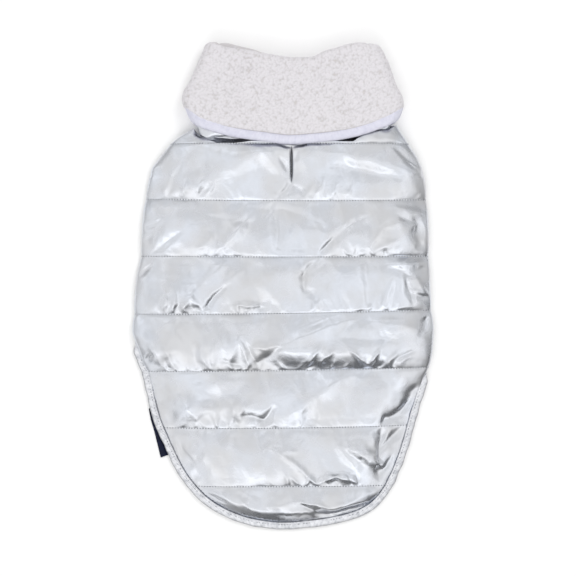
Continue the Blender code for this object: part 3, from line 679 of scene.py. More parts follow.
def hem_distance(x, y):
    """Distance to the edge of the tail, for places below the belly's hem."""
    if np.min(y) > HEM_ZONE:
        return np.full_like(x, np.inf)
    return np.min(np.hypot(x[:, None] - TAIL_EDGE[:, 0], y[:, None] - TAIL_EDGE[:, 1]), axis=1)


def back_ring(row, part):
    """The closed ring of a station, from the left seam over the top to the right seam and back inside."""
    left_y = blend(line_y(row, 0.0), line_y(row + 1, 0.0), part)
    right_y = blend(line_y(row, 1.0), line_y(row + 1, 1.0), part)
    left = float(read_table(BODY_OUTLINE, left_y, 1))
    right = float(read_table(BODY_OUTLINE, right_y, 2))
    off_middle = abs(2.0 * part - 1.0)
    side_swell = SIDE_BULGE * (1.0 - off_middle**4) - SIDE_PINCH * off_middle**12
    left -= side_swell * float(folded_share(left, left_y)) * float(left_y < LIFT_START)
    right += side_swell * float(folded_share(right, right_y)) * float(right_y < LIFT_START)
    width = right - left
    scale = min(width / FULL_WIDTH, 1.0)

    edge = EDGE_ZONE * scale * (np.arange(EDGE_COLUMNS + 1) / EDGE_COLUMNS) ** EDGE_CROWDING
    middle = np.arange(1, MIDDLE_COLUMNS) / MIDDLE_COLUMNS
    slit_x = min(max(SLIT_X, left + 1.2 * edge[-1]), right - 1.2 * edge[-1])
    left_columns = (left + edge, blend(left + edge[-1], slit_x, middle), [slit_x])
    right_columns = (blend(slit_x, right - edge[-1], middle), right - edge[::-1])
    top_x = np.concatenate((*left_columns, *right_columns))

    def place_y(x):
        share = (x - left) / width
        return blend(line_y(row, share), line_y(row + 1, share), part)

    y = place_y(top_x)
    share = (top_x - left) / width
    folded = folded_share(top_x, y)
    inset = np.minimum(np.minimum(top_x - left, right - top_x) / scale, hem_distance(top_x, y))
    layer = (belly_thickness(top_x, y) + SEAM_GAP) * folded
    swell = [noise.noise((x / PUFF_PATCH, place / PUFF_PATCH, 5.3 * row)) for x, place in zip(top_x, y)]
    even_padding = PUFF_HEIGHT * puff_share(row, part, share)
    padding = even_padding * (1.0 + PUFF_UNEVEN * np.array(swell))
    fade_start, fade_end = TAIL_FADE_ZONE
    fade = blend(HEM_FADE, TAIL_FADE, ease((fade_start - y) / (fade_start - fade_end)))
    kept = blend(ease(inset / fade), 1.0, folded)
    above = line_y(row, share) - y
    below = y - line_y(row + 1, share)
    to_line = np.minimum(above if row > 0 else below, below if row < len(QUILT_LINES) - 1 else above)
    groove = LINE_GROOVE * np.exp(-to_line / LINE_GROOVE_WIDTH) * ease(inset / EDGE_ZONE)
    full = layer + STITCHED_THICKNESS + VALLEY_LIFT * ease(inset / fade) + padding * kept - groove
    edge_height = EDGE_LEVEL * (layer + STITCHED_THICKNESS + padding * folded)
    roll = blend(HEM_ROLL_RADIUS, ROLL_RADIUS, folded)
    rounding = np.sqrt(1.0 - (1.0 - np.minimum(inset / roll, 1.0)) ** 2)

    hold = np.minimum(even_padding / CREASED_PUFF, 1.0)
    beside_line = 1.0 - np.exp(-((np.minimum(above, below) / STITCH_CLEAR) ** 2))
    folds = crease_height(BACK_CREASES, top_x, y) * hold * ease(inset / FOLD_FADE)
    if row <= 1:
        folds += crease_height(NECK_FOLDS, top_x, y) * ease(inset / NECK_FOLD_FADE)
    folds += pucker_height(row, top_x, y, above, below) * beside_line * ease(inset / FOLD_FADE)
    folds += uneven_height(top_x, y, row) * (hold * ease(inset / EDGE_ZONE * 1.6))
    top_z = body_lift(top_x, y) + blend(edge_height, full, rounding) + folds
    top = np.column_stack((top_x, y, top_z))

    def rolled_under(side, inward, height):
        """From just under the outermost line, round to the surface and in to the seam."""
        foot = ROLL_UNDER * scale
        turns = np.arange(1, ROLL_STEPS + 1) / ROLL_STEPS * math.pi / 2.0
        flat = np.arange(1, WRAP_STEPS + 1) / WRAP_STEPS
        wrap = min(WRAP_WIDTH, WRAP_SHARE * width)
        reach = np.concatenate((foot * (1.0 - np.cos(turns)), blend(foot, wrap, flat)))
        level = np.concatenate((height * (1.0 - np.sin(turns)), np.zeros(WRAP_STEPS)))
        x = side + inward * reach
        y = place_y(x)
        return np.column_stack((x, y, body_lift(x, y) + level))

    left_under = rolled_under(left, 1.0, edge_height[0])
    right_under = rolled_under(right, -1.0, edge_height[-1])
    left_seam_x = left_under[-1, 0]
    right_seam_x = right_under[-1, 0]
    steps = np.arange(INSIDE_STEPS) / INSIDE_STEPS
    inside_x = np.concatenate((blend(right_seam_x, slit_x, steps), blend(slit_x, left_seam_x, steps)))
    inside_x = np.append(inside_x, left_seam_x)
    inside_y = place_y(inside_x)
    inside_z = body_lift(inside_x, inside_y)
    inside_z += (belly_thickness(inside_x, inside_y) + SEAM_GAP) * folded_share(inside_x, inside_y)
    inside = np.column_stack((inside_x, inside_y, inside_z))
    return np.concatenate((left_under[::-1], top, right_under, inside))


def back_rings():
    stations = [(row, part) for row in range(len(QUILT_LINES)) for part in row_stations(row)]
    stations.append((len(QUILT_LINES) - 1, 1.0))
    return stations, np.array([back_ring(*station) for station in stations])


STATIONS, BACK_RINGS = back_rings()
FIRST_TOP = ROLL_STEPS + WRAP_STEPS  # places in a ring
TOP_SLIT = FIRST_TOP + EDGE_COLUMNS + MIDDLE_COLUMNS
LAST_TOP = FIRST_TOP + 2 * EDGE_COLUMNS + 2 * MIDDLE_COLUMNS
INSIDE_SLIT = LAST_TOP + ROLL_STEPS + WRAP_STEPS + INSIDE_STEPS + 1
print(BACK_RINGS.shape[0], "stations of", BACK_RINGS.shape[1], "points")

# %% Meshes


def ring_faces(ring_count, size, closed=False):
    """Quadrilaterals between neighbouring rings of points."""
    faces = []
    for ring in range(ring_count if closed else ring_count - 1):
        this = ring * size
        following = (ring + 1) % ring_count * size
        for step in range(size):
            after = (step + 1) % size
            faces.append((this + step, this + after, following + after, following + step))
    return faces


def lofted(rings):
    """Points and faces of a skin over rings, with its two ends capped."""
    count, size = rings.shape[:2]
    points = rings.reshape(-1, 3)
    faces = ring_faces(count, size)
    faces.append(tuple(range(size)))
    faces.append(tuple(range(len(points) - size, len(points))))
    return points, faces


def make_piece(name, points, faces, material, slot_name, attributes=()):
    """A piece of cloth from points in millimetres, with its place in its mesh."""
    mesh = bpy.data.meshes.new(name)
    mesh.from_pydata((np.asarray(points) * MM).tolist(), [], faces)
    for label, values in attributes:
        mesh.attributes.new(label, "FLOAT", "POINT").data.foreach_set("value", np.asarray(values, np.float32))
    edit = bmesh.new()
    edit.from_mesh(mesh)
    bmesh.ops.remove_doubles(edit, verts=edit.verts, dist=0.002 * MM)
    bmesh.ops.recalc_face_normals(edit, faces=edit.faces)
    edit.to_mesh(mesh)
    edit.free()
    mesh.shade_smooth()
    mesh.materials.append(material)
    piece = bpy.data.objects.new(name, mesh)
    bpy.context.scene.collection.objects.link(piece)
    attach(piece, "root")
    triangles = sum(len(face.vertices) - 2 for face in mesh.polygons)
    print(name, "has", triangles, "triangles")
    return piece


# %% [markdown]
# ## Silver foil cloth
#
# The face cloth is a thin polyester weave laminated with a metallised film: aluminium seen through a
# clear skin. It is a true metal to the light, with soft gloss, so its metallic value is 1 and its
# roughness about a quarter. The film wrinkles finely where it has been handled, and its gloss varies from
# place to place. Both are noise in the cloth's own coordinates.

# %% Foil
FOIL = "#dadee6"
FOIL_DULL = "#d5d6d9"
FOIL_ROUGHNESS = (0.22, 0.32)
CRUMPLE_SIZE = 7.0  # fine handling wrinkles, millimetres
WRINKLE_DEPTH = 0.22
GRAIN_SIZE = 0.9  # threads of the weave pressed into the film, drawn twice as coarse as they are
GRAIN_DEPTH = 0.05
GLOSS_PATCH = 38.0
# Painted shade inside the lead slit: the foil's colour is darkened nearly to black on its walls and bottom.
SLIT_PAINTED_SHADE = (0.35, 0.03)  # how deep in the slit it is darkest, and the share of its colour left there


def foil_cloth(name):
    material, tree, shader, place = new_material(name, {"Metallic": 1.0})
    patches = add_noise(tree, place, GLOSS_PATCH, 3.0)
    colour = add_ramp(tree, patches, ((0.35, FOIL_DULL), (0.65, FOIL)))
    gloss = add_range(tree, patches, 0.35, 0.65, FOIL_ROUGHNESS[1], FOIL_ROUGHNESS[0])
    crumple = add_noise(tree, place, CRUMPLE_SIZE, Distortion=0.6)
    wrinkles = add_bump(tree, crumple, WRINKLE_DEPTH)
    grain = add_noise(tree, place, GRAIN_SIZE, 1.0)
    weave = add_bump(tree, grain, GRAIN_DEPTH, 0.35, Normal=wrinkles)
    # painted shade: the slit_depth value darkens the colour inside the slit
    depth, darkest = SLIT_PAINTED_SHADE
    shade = add_range(tree, read_attribute(tree, "slit_depth"), 0.0, depth, 1.0, darkest, "SMOOTHSTEP")
    shaded = add_scale(tree, colour, shade)
    link_all(tree, shader, {"Base Color": shaded, "Roughness": gloss, "Normal": weave})
    return material


foil = foil_cloth("silver_foil_cloth")

# %% Back panel
SLIT_PUSH = 5.0  # the cloth beside the slit is pushed away over this distance
WELT = (2.4, 0.9, 0.6)  # the welt round the slit: its distance, half width and height
LIP_DROP = (0.8, 1.6)  # the slit's lips turn down: over what distance, and how far
LEAST_OPENING = 0.05


def make_back_panel():
    """The net of the back, with its lead slit pulled open."""
    rings = BACK_RINGS.copy()
    count, size = rings.shape[:2]
    middle = 0.5 * sum(SLIT_ENDS)
    half_length = 0.5 * (SLIT_ENDS[1] - SLIT_ENDS[0])
    slit_y = rings[:, TOP_SLIT, 1]
    opened = 0.5 * SLIT_WIDTH * (1.0 - np.clip(np.abs(slit_y - middle) / half_length, 0.0, 1.0) ** 4)
    share = opened / (0.5 * SLIT_WIDTH)
    away = rings[:, :, 0] - SLIT_X
    top = np.zeros(size, bool)
    top[FIRST_TOP : LAST_TOP + 1] = True
    rings[:, :, 0] += np.sign(away) * opened[:, None] * np.exp(-np.abs(away) / SLIT_PUSH) * top
    away = np.abs(rings[:, :, 0] - SLIT_X)
    welt_distance, welt_width, welt_height = WELT
    lip_width, lip_drop = LIP_DROP
    lip = welt_height * np.exp(-(((away - welt_distance) / welt_width) ** 2))
    lip -= lip_drop * np.exp(-np.maximum(away - opened[:, None], 0.0) / lip_width)
    rings[:, :, 2] += lip * share[:, None] * top

    points, faces = lofted(rings)
    # The points of the doubled line move to the lip on the left, and their copies to the one on the right
    cut = np.flatnonzero(opened > LEAST_OPENING)
    copies = {}
    extra = []
    for ring in cut:
        for column, reach in ((TOP_SLIT, opened[ring]), (INSIDE_SLIT, SLIT_FLOOR_GAP)):
            index = ring * size + column
            copies[index] = len(points) + len(extra)
            extra.append(points[index] + (reach, 0.0, 0.0))
            points[index] = points[index] - (reach, 0.0, 0.0)
    points = np.concatenate((points, extra))

    def on_right(face):
        columns = sorted(index % size for index in face)
        return columns[-1] > TOP_SLIT and columns[0] >= TOP_SLIT and columns[-1] <= INSIDE_SLIT

    final = []
    for face in faces:
        if len(face) == 4 and any(index in copies for index in face) and on_right(face):
            face = tuple(copies.get(index, index) for index in face)
        final.append(face)
    for ring in range(cut[0] - 1, cut[-1] + 1):
        upper = (ring * size + TOP_SLIT, (ring + 1) * size + TOP_SLIT)
        lower = (ring * size + INSIDE_SLIT, (ring + 1) * size + INSIDE_SLIT)
        for side in ({}, copies):
            final.append(tuple(side.get(index, index) for index in (*upper, *lower[::-1])))
    # 1 at the bottom of the slit, where the foil's colour is darkened as painted shade
    depth = np.zeros(len(points))
    for ring in cut:
        index = ring * size + INSIDE_SLIT
        depth[[index, copies[index]]] = 1.0
    return points, final, depth


back_points, back_faces, slit_depth = make_back_panel()
back_panel = make_piece(
    "back_panel_cloth", back_points, back_faces, foil, "silver_foil_cloth", [("slit_depth", slit_depth)]
)
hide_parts("back_panel")

# %% [markdown]
# ## The belly panel and its binding
#
# Under the chest and belly lies one plain padded panel. Its sides follow the folded-under edges of the
# back, its rear hem is bound, and a leg opening is cut into each side. It is flat where it rests.

# %% Belly panel
LEG_OPENING_CENTRE = 85.0
LEG_OPENING_LENGTH = 76.0
LEG_OPENING_DEPTH = 42.0
BELLY_COLUMNS = 60
BELLY_STATIONS = (60, 48, 24)  # behind, beside and before the leg openings
EDGE_THINNING = (1.5, 0.8)  # the panel thins towards its sides: over what distance, and by how much

left_seam = BACK_RINGS[::-1, 0, :2]
right_seam = BACK_RINGS[::-1, LAST_TOP + ROLL_STEPS + WRAP_STEPS, :2]


def belly_left(y):
    return np.interp(y, left_seam[:, 1], left_seam[:, 0]) + SEAM_GAP


def belly_right(y):
    return np.interp(y, right_seam[:, 1], right_seam[:, 0]) - SEAM_GAP


def leg_cut(y):
    along = np.clip((y - LEG_OPENING_CENTRE) / (0.5 * LEG_OPENING_LENGTH), -1.0, 1.0)
    return LEG_OPENING_DEPTH * np.sqrt(1.0 - along * along)


def belly_ring(y_at):
    """One station of the belly panel, its lower side first. Its Y depends on the share of its width."""
    shares = np.arange(BELLY_COLUMNS + 1) / BELLY_COLUMNS
    left = float(belly_left(y_at(0.0)) + leg_cut(y_at(0.0)))
    right = float(belly_right(y_at(1.0)) - leg_cut(y_at(1.0)))
    x = blend(left, right, shares)
    y = y_at(shares) + 0.0 * x
    lift = body_lift(x, y)
    edge = np.minimum(x - left, right - x)
    thinning = EDGE_THINNING[1] * np.exp(-edge / EDGE_THINNING[0])
    lower = np.column_stack((x, y, lift + 0.5 * thinning))
    upper = np.column_stack((x, y, lift + belly_thickness(x, y) - thinning))
    return np.concatenate((lower, upper[::-1]))


def belly_rings():
    behind, beside, before = BELLY_STATIONS
    low = LEG_OPENING_CENTRE - 0.5 * LEG_OPENING_LENGTH
    high = LEG_OPENING_CENTRE + 0.5 * LEG_OPENING_LENGTH
    neck = (left_seam[-1, 0], right_seam[-1, 0])
    rings = [belly_ring(lambda s: blend(through_three(BELLY_HEM, s), low, k / behind)) for k in range(behind)]
    for k in range(beside + 1):
        y = LEG_OPENING_CENTRE - 0.5 * LEG_OPENING_LENGTH * math.cos(math.pi * k / beside)
        rings.append(belly_ring(lambda s: y))
    for k in range(1, before + 1):
        rings.append(belly_ring(lambda s: blend(high, neck_seam(blend(*neck, s)), k / before)))
    return np.array(rings)


belly_panel = make_piece("belly_panel_cloth", *lofted(belly_rings()), foil, "silver_foil_cloth")
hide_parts("belly_panel")

# %% [markdown]
# ## Bindings
#
# A binding is a narrow tape folded round a raw edge and stitched down. The hem's is a satin tape in
# silver grey, with shade painted into its colour towards its outer edge, where it turns down. The
# collar's is a matte tape in pale lilac. Both are woven with fine ribs across, which the material draws
# along a path value that every point of the tape carries. The tape puckers a little between its stitches.

# %% Tape materials
RIB_PITCH = 1.5  # the ribs of the tape, drawn twice as coarse as they are
TAPE_PATCH = 5.0
RIB_CONTRAST = 0.35
# Painted shade on the outer edge of the hem tape, where it turns down and lies in its own shade:
EDGE_PAINTED_SHADE = 0.45  # share of its colour that the tape keeps at its outer edge
HEM_TAPE = ("#b0b3ba", "#f0f1f5")
COLLAR_TAPE = ("#cecede", "#e0e0ec")


def woven_tape(name, colours, roughness, metallic, rib_depth):
    material, tree, shader, place = new_material(name, {"Roughness": roughness, "Metallic": metallic})
    along = read_attribute(tree, "along")
    turns = add_node(
        tree, "ShaderNodeMath", {0: along}, {1: 2.0 * math.pi / (RIB_PITCH * MM)}, operation="MULTIPLY"
    )
    wave = add_node(tree, "ShaderNodeMath", {0: turns.outputs[0]}, operation="SINE")
    ribs = add_range(tree, wave.outputs[0], -1.0, 1.0, 0.0, 1.0)
    uneven = add_noise(tree, place, TAPE_PATCH, 3.0)
    tone = add_node(
        tree, "ShaderNodeMath", {0: ribs, 2: uneven}, {1: RIB_CONTRAST}, operation="MULTIPLY_ADD"
    )
    colour = add_ramp(tree, tone.outputs[0], ((0.35, colours[0]), (0.85, colours[1])))
    # painted shade: the colour darkens where the edge value is 1, on the hem tape's turned-down outer edge
    edge_shade = add_range(tree, read_attribute(tree, "edge"), 0.0, 1.0, 1.0, EDGE_PAINTED_SHADE)
    edge_shaded = add_scale(tree, colour, edge_shade)
    link_all(tree, shader, {"Base Color": edge_shaded, "Normal": add_bump(tree, ribs, rib_depth)})
    return material


hem_tape = woven_tape("silver_satin_tape", HEM_TAPE, 0.38, 0.35, 0.12)
collar_tape = woven_tape("pale_lilac_tape", COLLAR_TAPE, 0.75, 0.0, 0.08)

# %% Smooth sections


def rounded(section, cuts=2):
    """A closed section with its corners cut again and again, each time by a quarter of the side."""
    section = np.array(section)
    for _ in range(cuts):
        after = np.roll(section, -1, axis=0)
        cut_corners = (0.75 * section + 0.25 * after, 0.25 * section + 0.75 * after)
        section = np.stack(cut_corners, axis=1).reshape(-1, 2)
    return section


def path_lengths(points):
    """Distance of each point from the first one, along their path."""
    steps = np.linalg.norm(np.diff(points, axis=0), axis=1)
    return np.concatenate(([0.0], np.cumsum(steps)))


# %% Hem binding
HEM_BINDING_WIDTH = 6.0
HEM_BINDING_START = (-60.0, -94.0)  # y where it comes out on the left and on the right
HEM_BINDING_GROWTH = 12.0  # it widens to its full width over this length
HEM_WOBBLE = (11.0, 0.14)  # the hem binding swells and thins: over what distance, and by what share
HEM_TUCK = 0.09  # each stitch draws it in by this share
# Painted shade on the hem tape's outer edge, where it turns down:
HEM_PAINTED_SHADE = (4.4, 1.4)  # its outer edge darkens: from what distance out, over how much
STITCH_PITCH = 3.0
# distance out from the panel's edge, height
HEM_BINDING_SECTION = (
    (0.3, 0.3), (0.3, 2.6), (-1.5, 4.1), (-1.9, 4.9), (-0.6, 5.6), (2.4, 5.6), (4.6, 5), (6, 3.4),
    (6.2, 1.2), (5, 0), (1.2, 0),
)


def hem_path():
    """The edge of the back cloth, from where the binding starts on the left round to the right."""
    left = BACK_RINGS[:, FIRST_TOP, :2]
    right = BACK_RINGS[:, LAST_TOP, :2]
    left = left[left[:, 1] <= HEM_BINDING_START[0]]
    right = right[right[:, 1] <= HEM_BINDING_START[1]]
    return np.concatenate((left, right[::-1]))


HEM_PATH = hem_path()
HEM_ALONG = path_lengths(HEM_PATH)
hem_run = np.gradient(HEM_PATH, axis=0)
hem_run /= np.linalg.norm(hem_run, axis=1)[:, None]
HEM_OUT = np.column_stack((hem_run[:, 1], -hem_run[:, 0]))


def make_hem_binding():
    section = rounded(HEM_BINDING_SECTION)
    from_end = np.minimum(HEM_ALONG, HEM_ALONG[-1] - HEM_ALONG)
    width = ease(0.15 + from_end / HEM_BINDING_GROWTH)
    rings = []
    for (x, y), (out_x, out_y), along, grown in zip(HEM_PATH, HEM_OUT, HEM_ALONG, width):
        wobble = 1.0 + HEM_WOBBLE[1] * noise.noise((along / HEM_WOBBLE[0], 3.0, 0.0))
        tuck = 1.0 - HEM_TUCK * math.cos(2.0 * math.pi * along / STITCH_PITCH)
        out = SEAM_GAP + (section[:, 0] - SEAM_GAP) * grown * wobble
        level = section[:, 1] * tuck * wobble
        rings.append(np.column_stack((x + out_x * out, y + out_y * out, level)))
    points, faces = lofted(np.array(rings))
    # 1 on the outer edge of the section, where the tape's colour is painted darker as shade
    edge = ease((section[:, 0] - HEM_PAINTED_SHADE[0]) / HEM_PAINTED_SHADE[1])
    attributes = [("along", np.repeat(HEM_ALONG * MM, len(section))), ("edge", np.tile(edge, len(HEM_PATH)))]
    return make_piece("hem_binding_tape", points, faces, hem_tape, "silver_binding", attributes)


hem_binding = make_hem_binding()
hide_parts("hem_binding")
print("hem binding", round(float(HEM_ALONG[-1])), "mm long")

# %% Belly binding
BELLY_BINDING_STEPS = 200
BELLY_BINDING_BEVEL = 1.5


def make_belly_binding():
    left = max(float(belly_left(BELLY_HEM[0] - out)) for out in (0.0, HEM_BINDING_WIDTH))
    right = min(float(belly_right(BELLY_HEM[2] - out)) for out in (0.0, HEM_BINDING_WIDTH))
    top = BELLY_THICKNESS
    far = -HEM_BINDING_WIDTH
    bevel = BELLY_BINDING_BEVEL
    upper_corners = [(-SEAM_GAP, 0.0), (-SEAM_GAP, top), (far + bevel, top)]
    section = rounded([*upper_corners, (far, top - bevel), (far, bevel), (far + bevel, 0.0)])
    shares = np.arange(BELLY_BINDING_STEPS + 1) / BELLY_BINDING_STEPS
    x = blend(left, right, shares)
    hem = through_three(BELLY_HEM, shares)
    out, level = section.T
    rings = [np.column_stack((np.full_like(out, a), b + out, level)) for a, b in zip(x, hem)]
    points, faces = lofted(np.array(rings))
    along = np.repeat((x - left) * MM, len(section))
    return make_piece("belly_binding_tape", points, faces, hem_tape, "silver_binding", [("along", along)])


belly_binding = make_belly_binding()
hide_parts("belly_binding")

# %% [markdown]
# ## The side tag
#
# A short loop of navy satin ribbon is caught in the left hem. It lies nearly flat, folded at its outer
# edge. Nothing is printed or woven on it.

# %% Tag material
NAVY = ("#0b1024", "#141c38")
RIBBON_WEAVE = 2.2
RIBBON_PATCH = 4.0


def tag_ribbon():
    constants = {"Roughness": 0.6, "Specular IOR Level": 0.2}
    material, tree, shader, place = new_material("navy_satin_ribbon", constants)
    scale = {"Scale": 1.0 / (RIBBON_WEAVE * MM)}
    weave = add_node(tree, "ShaderNodeTexWave", {"Vector": place}, scale, bands_direction="DIAGONAL")
    colour = add_ramp(tree, add_noise(tree, place, RIBBON_PATCH), ((0.3, NAVY[0]), (0.8, NAVY[1])))
    bump = add_bump(tree, weave.outputs["Fac"], 0.06, 0.6)
    link_all(tree, shader, {"Base Color": colour, "Normal": bump})
    return material


# %% Tag
TAG_INNER_EDGE = (
    (-145.4, -133.5), (-142, -144.5), (-136.5, -158), (-131, -170.5), (-125, -184),
)
TAG_OUTER_EDGE = (
    (-146.4, -134), (-144.4, -145), (-140.4, -158.5), (-137.2, -171.5), (-133.4, -187),
)
TAG_THICKNESS = 1.6
TAG_STEPS = 40
TAG_FOLD_STEPS = 8


def make_side_tag():
    """Two layers of ribbon, from the seam out to the fold and back."""
    inner = np.array(TAG_INNER_EDGE)
    outer = np.array(TAG_OUTER_EDGE)
    place = np.arange(TAG_STEPS + 1) / TAG_STEPS * (len(inner) - 1)
    near = np.column_stack([np.interp(place, range(len(inner)), inner[:, k]) for k in (0, 1)])
    far = np.column_stack([np.interp(place, range(len(outer)), outer[:, k]) for k in (0, 1)])
    radius = 0.5 * TAG_THICKNESS
    turns = np.pi * np.arange(TAG_FOLD_STEPS + 1) / TAG_FOLD_STEPS
    rings = []
    for a, b in zip(near, far):
        width = np.linalg.norm(b - a)
        reach = np.concatenate(([0.0, 0.5], 1.0 - radius / width * (1.0 - np.sin(turns)), [0.5, 0.0]))
        level = np.concatenate(([0.15, 0.1], radius * (1.0 - np.cos(turns)), [1.9 * radius, 1.8 * radius]))
        xy = a + np.clip(reach, 0.0, 1.0)[:, None] * (b - a)
        rings.append(np.column_stack((xy, level)))
    points, faces = lofted(np.array(rings))
    return make_piece("side_tag_ribbon", points, faces, tag_ribbon(), "navy_tag")


side_tag = make_side_tag()
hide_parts("side_tag")

# %% [markdown]
# ## The collar
#
# The collar is a second flattened tube. Its pile lining shows, because the collar is turned down: it goes
# up on the outside, over the fold and down again inside the neck. The foil shell lies between those two
# legs and runs on below them to the neck seam, where a strip of it shows.
#
# The pile is a knitted fleece with small curls that clump into knobs of two to three millimetres. Each
# knob is a bump of the fine mesh, laid out by a cellular noise, and a second, smaller layer of cells
# breaks it into curls. The depth of each point is kept as a value for the colour, which paints shade
# into the pile: the valleys between the knobs are painted beige and grey, their tops are nearly white.

# %% Sizes of the collar
COLLAR_HALF = 13.2
COLLAR_BINDING_WIDTH = 9.8
PILE_LEG = 6.0
SHELL_OFFSET = 6.3
SHELL_THICKNESS = 2.0
SHELL_SIDE_INSET = 1.9
SHELL_INNER_INSET = 0.8
INNER_LEG_OFFSET = 8.6
INNER_LEG_INSET = 1.6
FOLD_RADIUS = 6.1
SHELL_DROP = 5.1
COLLAR_CROWN = 2.0
THROAT_HEM_RISE = 10.0
THROAT_HEM_SHARE = 0.09

# Sides of the turned-down collar: y, left x, right x
COLLAR_SIDES = (
    (258, -85, 105.5), (250, -88.5, 110), (237.6, -94, 115.6), (218, -101.5, 122), (198.7, -109, 129.6),
    (190, -108, 130.5), (184, -104.5, 128.5), (171, -98, 122),
)

# Collar folds by the share of its width: share, y of the fold on the back, y of the fold under the throat
COLLAR_FOLDS = (
    (0, 262.5, 262.5), (0.05, 257.5, 264), (0.15, 255, 260.5), (0.25, 252.5, 256.5), (0.35, 249.5, 250.5),
    (0.5, 246, 243.5), (0.62, 246, 243.5), (0.7, 252, 249), (0.8, 257, 254), (0.9, 261.2, 259),
    (0.95, 261.8, 260.5), (1, 260.6, 260),
)

# Bound lower edge of the turned-down collar: x, y
COLLAR_BOUND_EDGE = (
    (-106, 182.5), (-101, 179), (-95, 174.3), (-89.6, 170.6), (-70, 164), (-58, 160.9), (-46, 158.7),
    (-20, 155.2), (7.6, 152.1), (35, 153.9), (61.6, 157), (78, 160.2), (95, 165.2), (106, 169.6),
    (115, 173.2), (122, 177.5), (130, 182.5),
)

# Troughs in the pile of the upper side, in the columns of the back's creases
COLLAR_TROUGHS = (
    (-38, 236, -42, 194, 12, -4.6, 0, 0), (66, 226, 77, 190, 12, -4, 0, 0),
    (-80, 205, -70, 180, 12, -1, 0, 0), (20, 215, 10, 180, 14, -1, 0, 0),
)

# %% Rings of the collar
COLLAR_COLUMNS = 230
COLLAR_SIDE_STEPS = 28


def collar_ring(y_at, offset, drop=0.0, side_inset=0.0, crowned=False, columns=COLLAR_COLUMNS):
    """One loop round the flattened collar, at an offset from its outside.

    y_at(share, back, x) gives its Y, on the back or under the throat. The upper side sinks by the drop,
    and both folded sides stand further in by the side inset."""
    thickness = COLLAR_HALF - offset - 0.5 * drop
    middle = COLLAR_HALF - 0.5 * drop
    left_side = float(read_table(COLLAR_SIDES, y_at(0.0, True, COLLAR_SIDES[-1][1]), 1))
    right_side = float(read_table(COLLAR_SIDES, y_at(1.0, True, COLLAR_SIDES[-1][2]), 2))
    left = left_side + offset + thickness + side_inset
    right = right_side - offset - thickness - side_inset
    shares = np.arange(columns + 1) / columns
    turns = math.pi * np.arange(1, COLLAR_SIDE_STEPS + 1) / (COLLAR_SIDE_STEPS + 1)
    x = blend(left, right, shares)
    y = y_at(shares, True, x)
    z = np.full_like(x, middle + thickness)
    if crowned:
        z += COLLAR_CROWN * np.sin(math.pi * shares) + crease_height(COLLAR_TROUGHS, x, y)
    upper = np.column_stack((x, y, z))
    x = right + thickness * np.sin(turns)
    right_turn = np.column_stack((x, y_at(1.0, True, x) + 0.0 * x, middle + thickness * np.cos(turns)))
    x = blend(left, right, shares[::-1])
    lower = np.column_stack((x, y_at(shares[::-1], False, x), np.full_like(x, middle - thickness)))
    x = left - thickness * np.sin(turns)
    left_turn = np.column_stack((x, y_at(0.0, True, x) + 0.0 * x, middle - thickness * np.cos(turns)))
    return np.concatenate((upper, right_turn, lower, left_turn))


def fold_y(share, back):
    return read_table(COLLAR_FOLDS, share, 1 if back else 2)


def bound_edge_y(share, back, x):
    edge = read_table(COLLAR_BOUND_EDGE, x, 1)
    if back:
        return edge
    return edge + THROAT_HEM_RISE * np.minimum(share * (1.0 - share) / THROAT_HEM_SHARE, 1.0)


# %% Curly pile material
# Painted shade: the pile's colour follows the depth of each point, beige and grey in the valleys between the
# knobs, nearly white on their tops.
PILE_VALLEY = "#cbc6c5"
PILE_SHADE = "#d7d4d7"
PILE_TOP = "#e3e0e4"
FIBRE_SIZE = 0.8
FIBRE_DEPTH = 0.35
FIBRE_CONTRAST = 0.3


def curly_pile():
    constants = {"Roughness": 0.95, "Sheen Weight": 0.3, "Sheen Roughness": 0.5}
    material, tree, shader, place = new_material("white_curly_fleece", constants)
    fibres = add_noise(tree, place, FIBRE_SIZE, 3.0, Roughness=0.7, Distortion=1.5)
    # the height value paints shade into the valleys between the knobs
    sources = {0: fibres, 2: read_attribute(tree, "height")}
    tone = add_node(tree, "ShaderNodeMath", sources, {1: FIBRE_CONTRAST}, operation="MULTIPLY_ADD")
    colour = add_ramp(tree, tone.outputs[0], ((0.12, PILE_VALLEY), (0.45, PILE_SHADE), (0.8, PILE_TOP)))
    link_all(tree, shader, {"Base Color": colour, "Normal": add_bump(tree, fibres, FIBRE_DEPTH)})
    return material


# %% Pile lining
PILE_STEPS = 108  # rings on the leg that shows
PILE_START = 0.967  # share of that leg where the pile starts, above its lip
PILE_LIP = ((1.0, 1.2), (1.0, 0.6), (0.993, 0.3), (0.98, 0.1))  # share of the leg, offset
FOLD_STEPS = 12
KNOB_SIZE = 2.6
KNOB_HEIGHT = 1.25
KNOB_LEVEL = 0.55  # the part of a knob that is below the collar's own surface
CURL_SIZE = 1.4
CURL_HEIGHT = 0.5
CURL_LEVEL = 0.5
KNOB_STRAY = (6.0, 1.4)  # knobs are bent by a smooth noise: over what distance, and how far
KNOB_STANDING = 1.6  # upwards, a knob is this many times shorter than across
FOLD_SPAN = (-80.0, 100.0)  # x of the ends of the folds
THROAT_PART = 0.4  # share of the width that shows a sliver of the throat's pile behind the back fold
THROAT_FADE = (0.5, 1.5)  # its distance from the back fold, and the length over which it starts
THROAT_CALM = 0.7  # the sliver is this much smoother and darker
# share of the colour value taken from the throat sliver: painted shade, as it lies low behind the back fold
THROAT_SHADE = 0.6
INNER_LEG_SHARES = (0.1, 0.2, 0.35, 0.5)
HOLLOW_SHARES = (0.2, 0.4, 0.6, 0.8, 1.0)


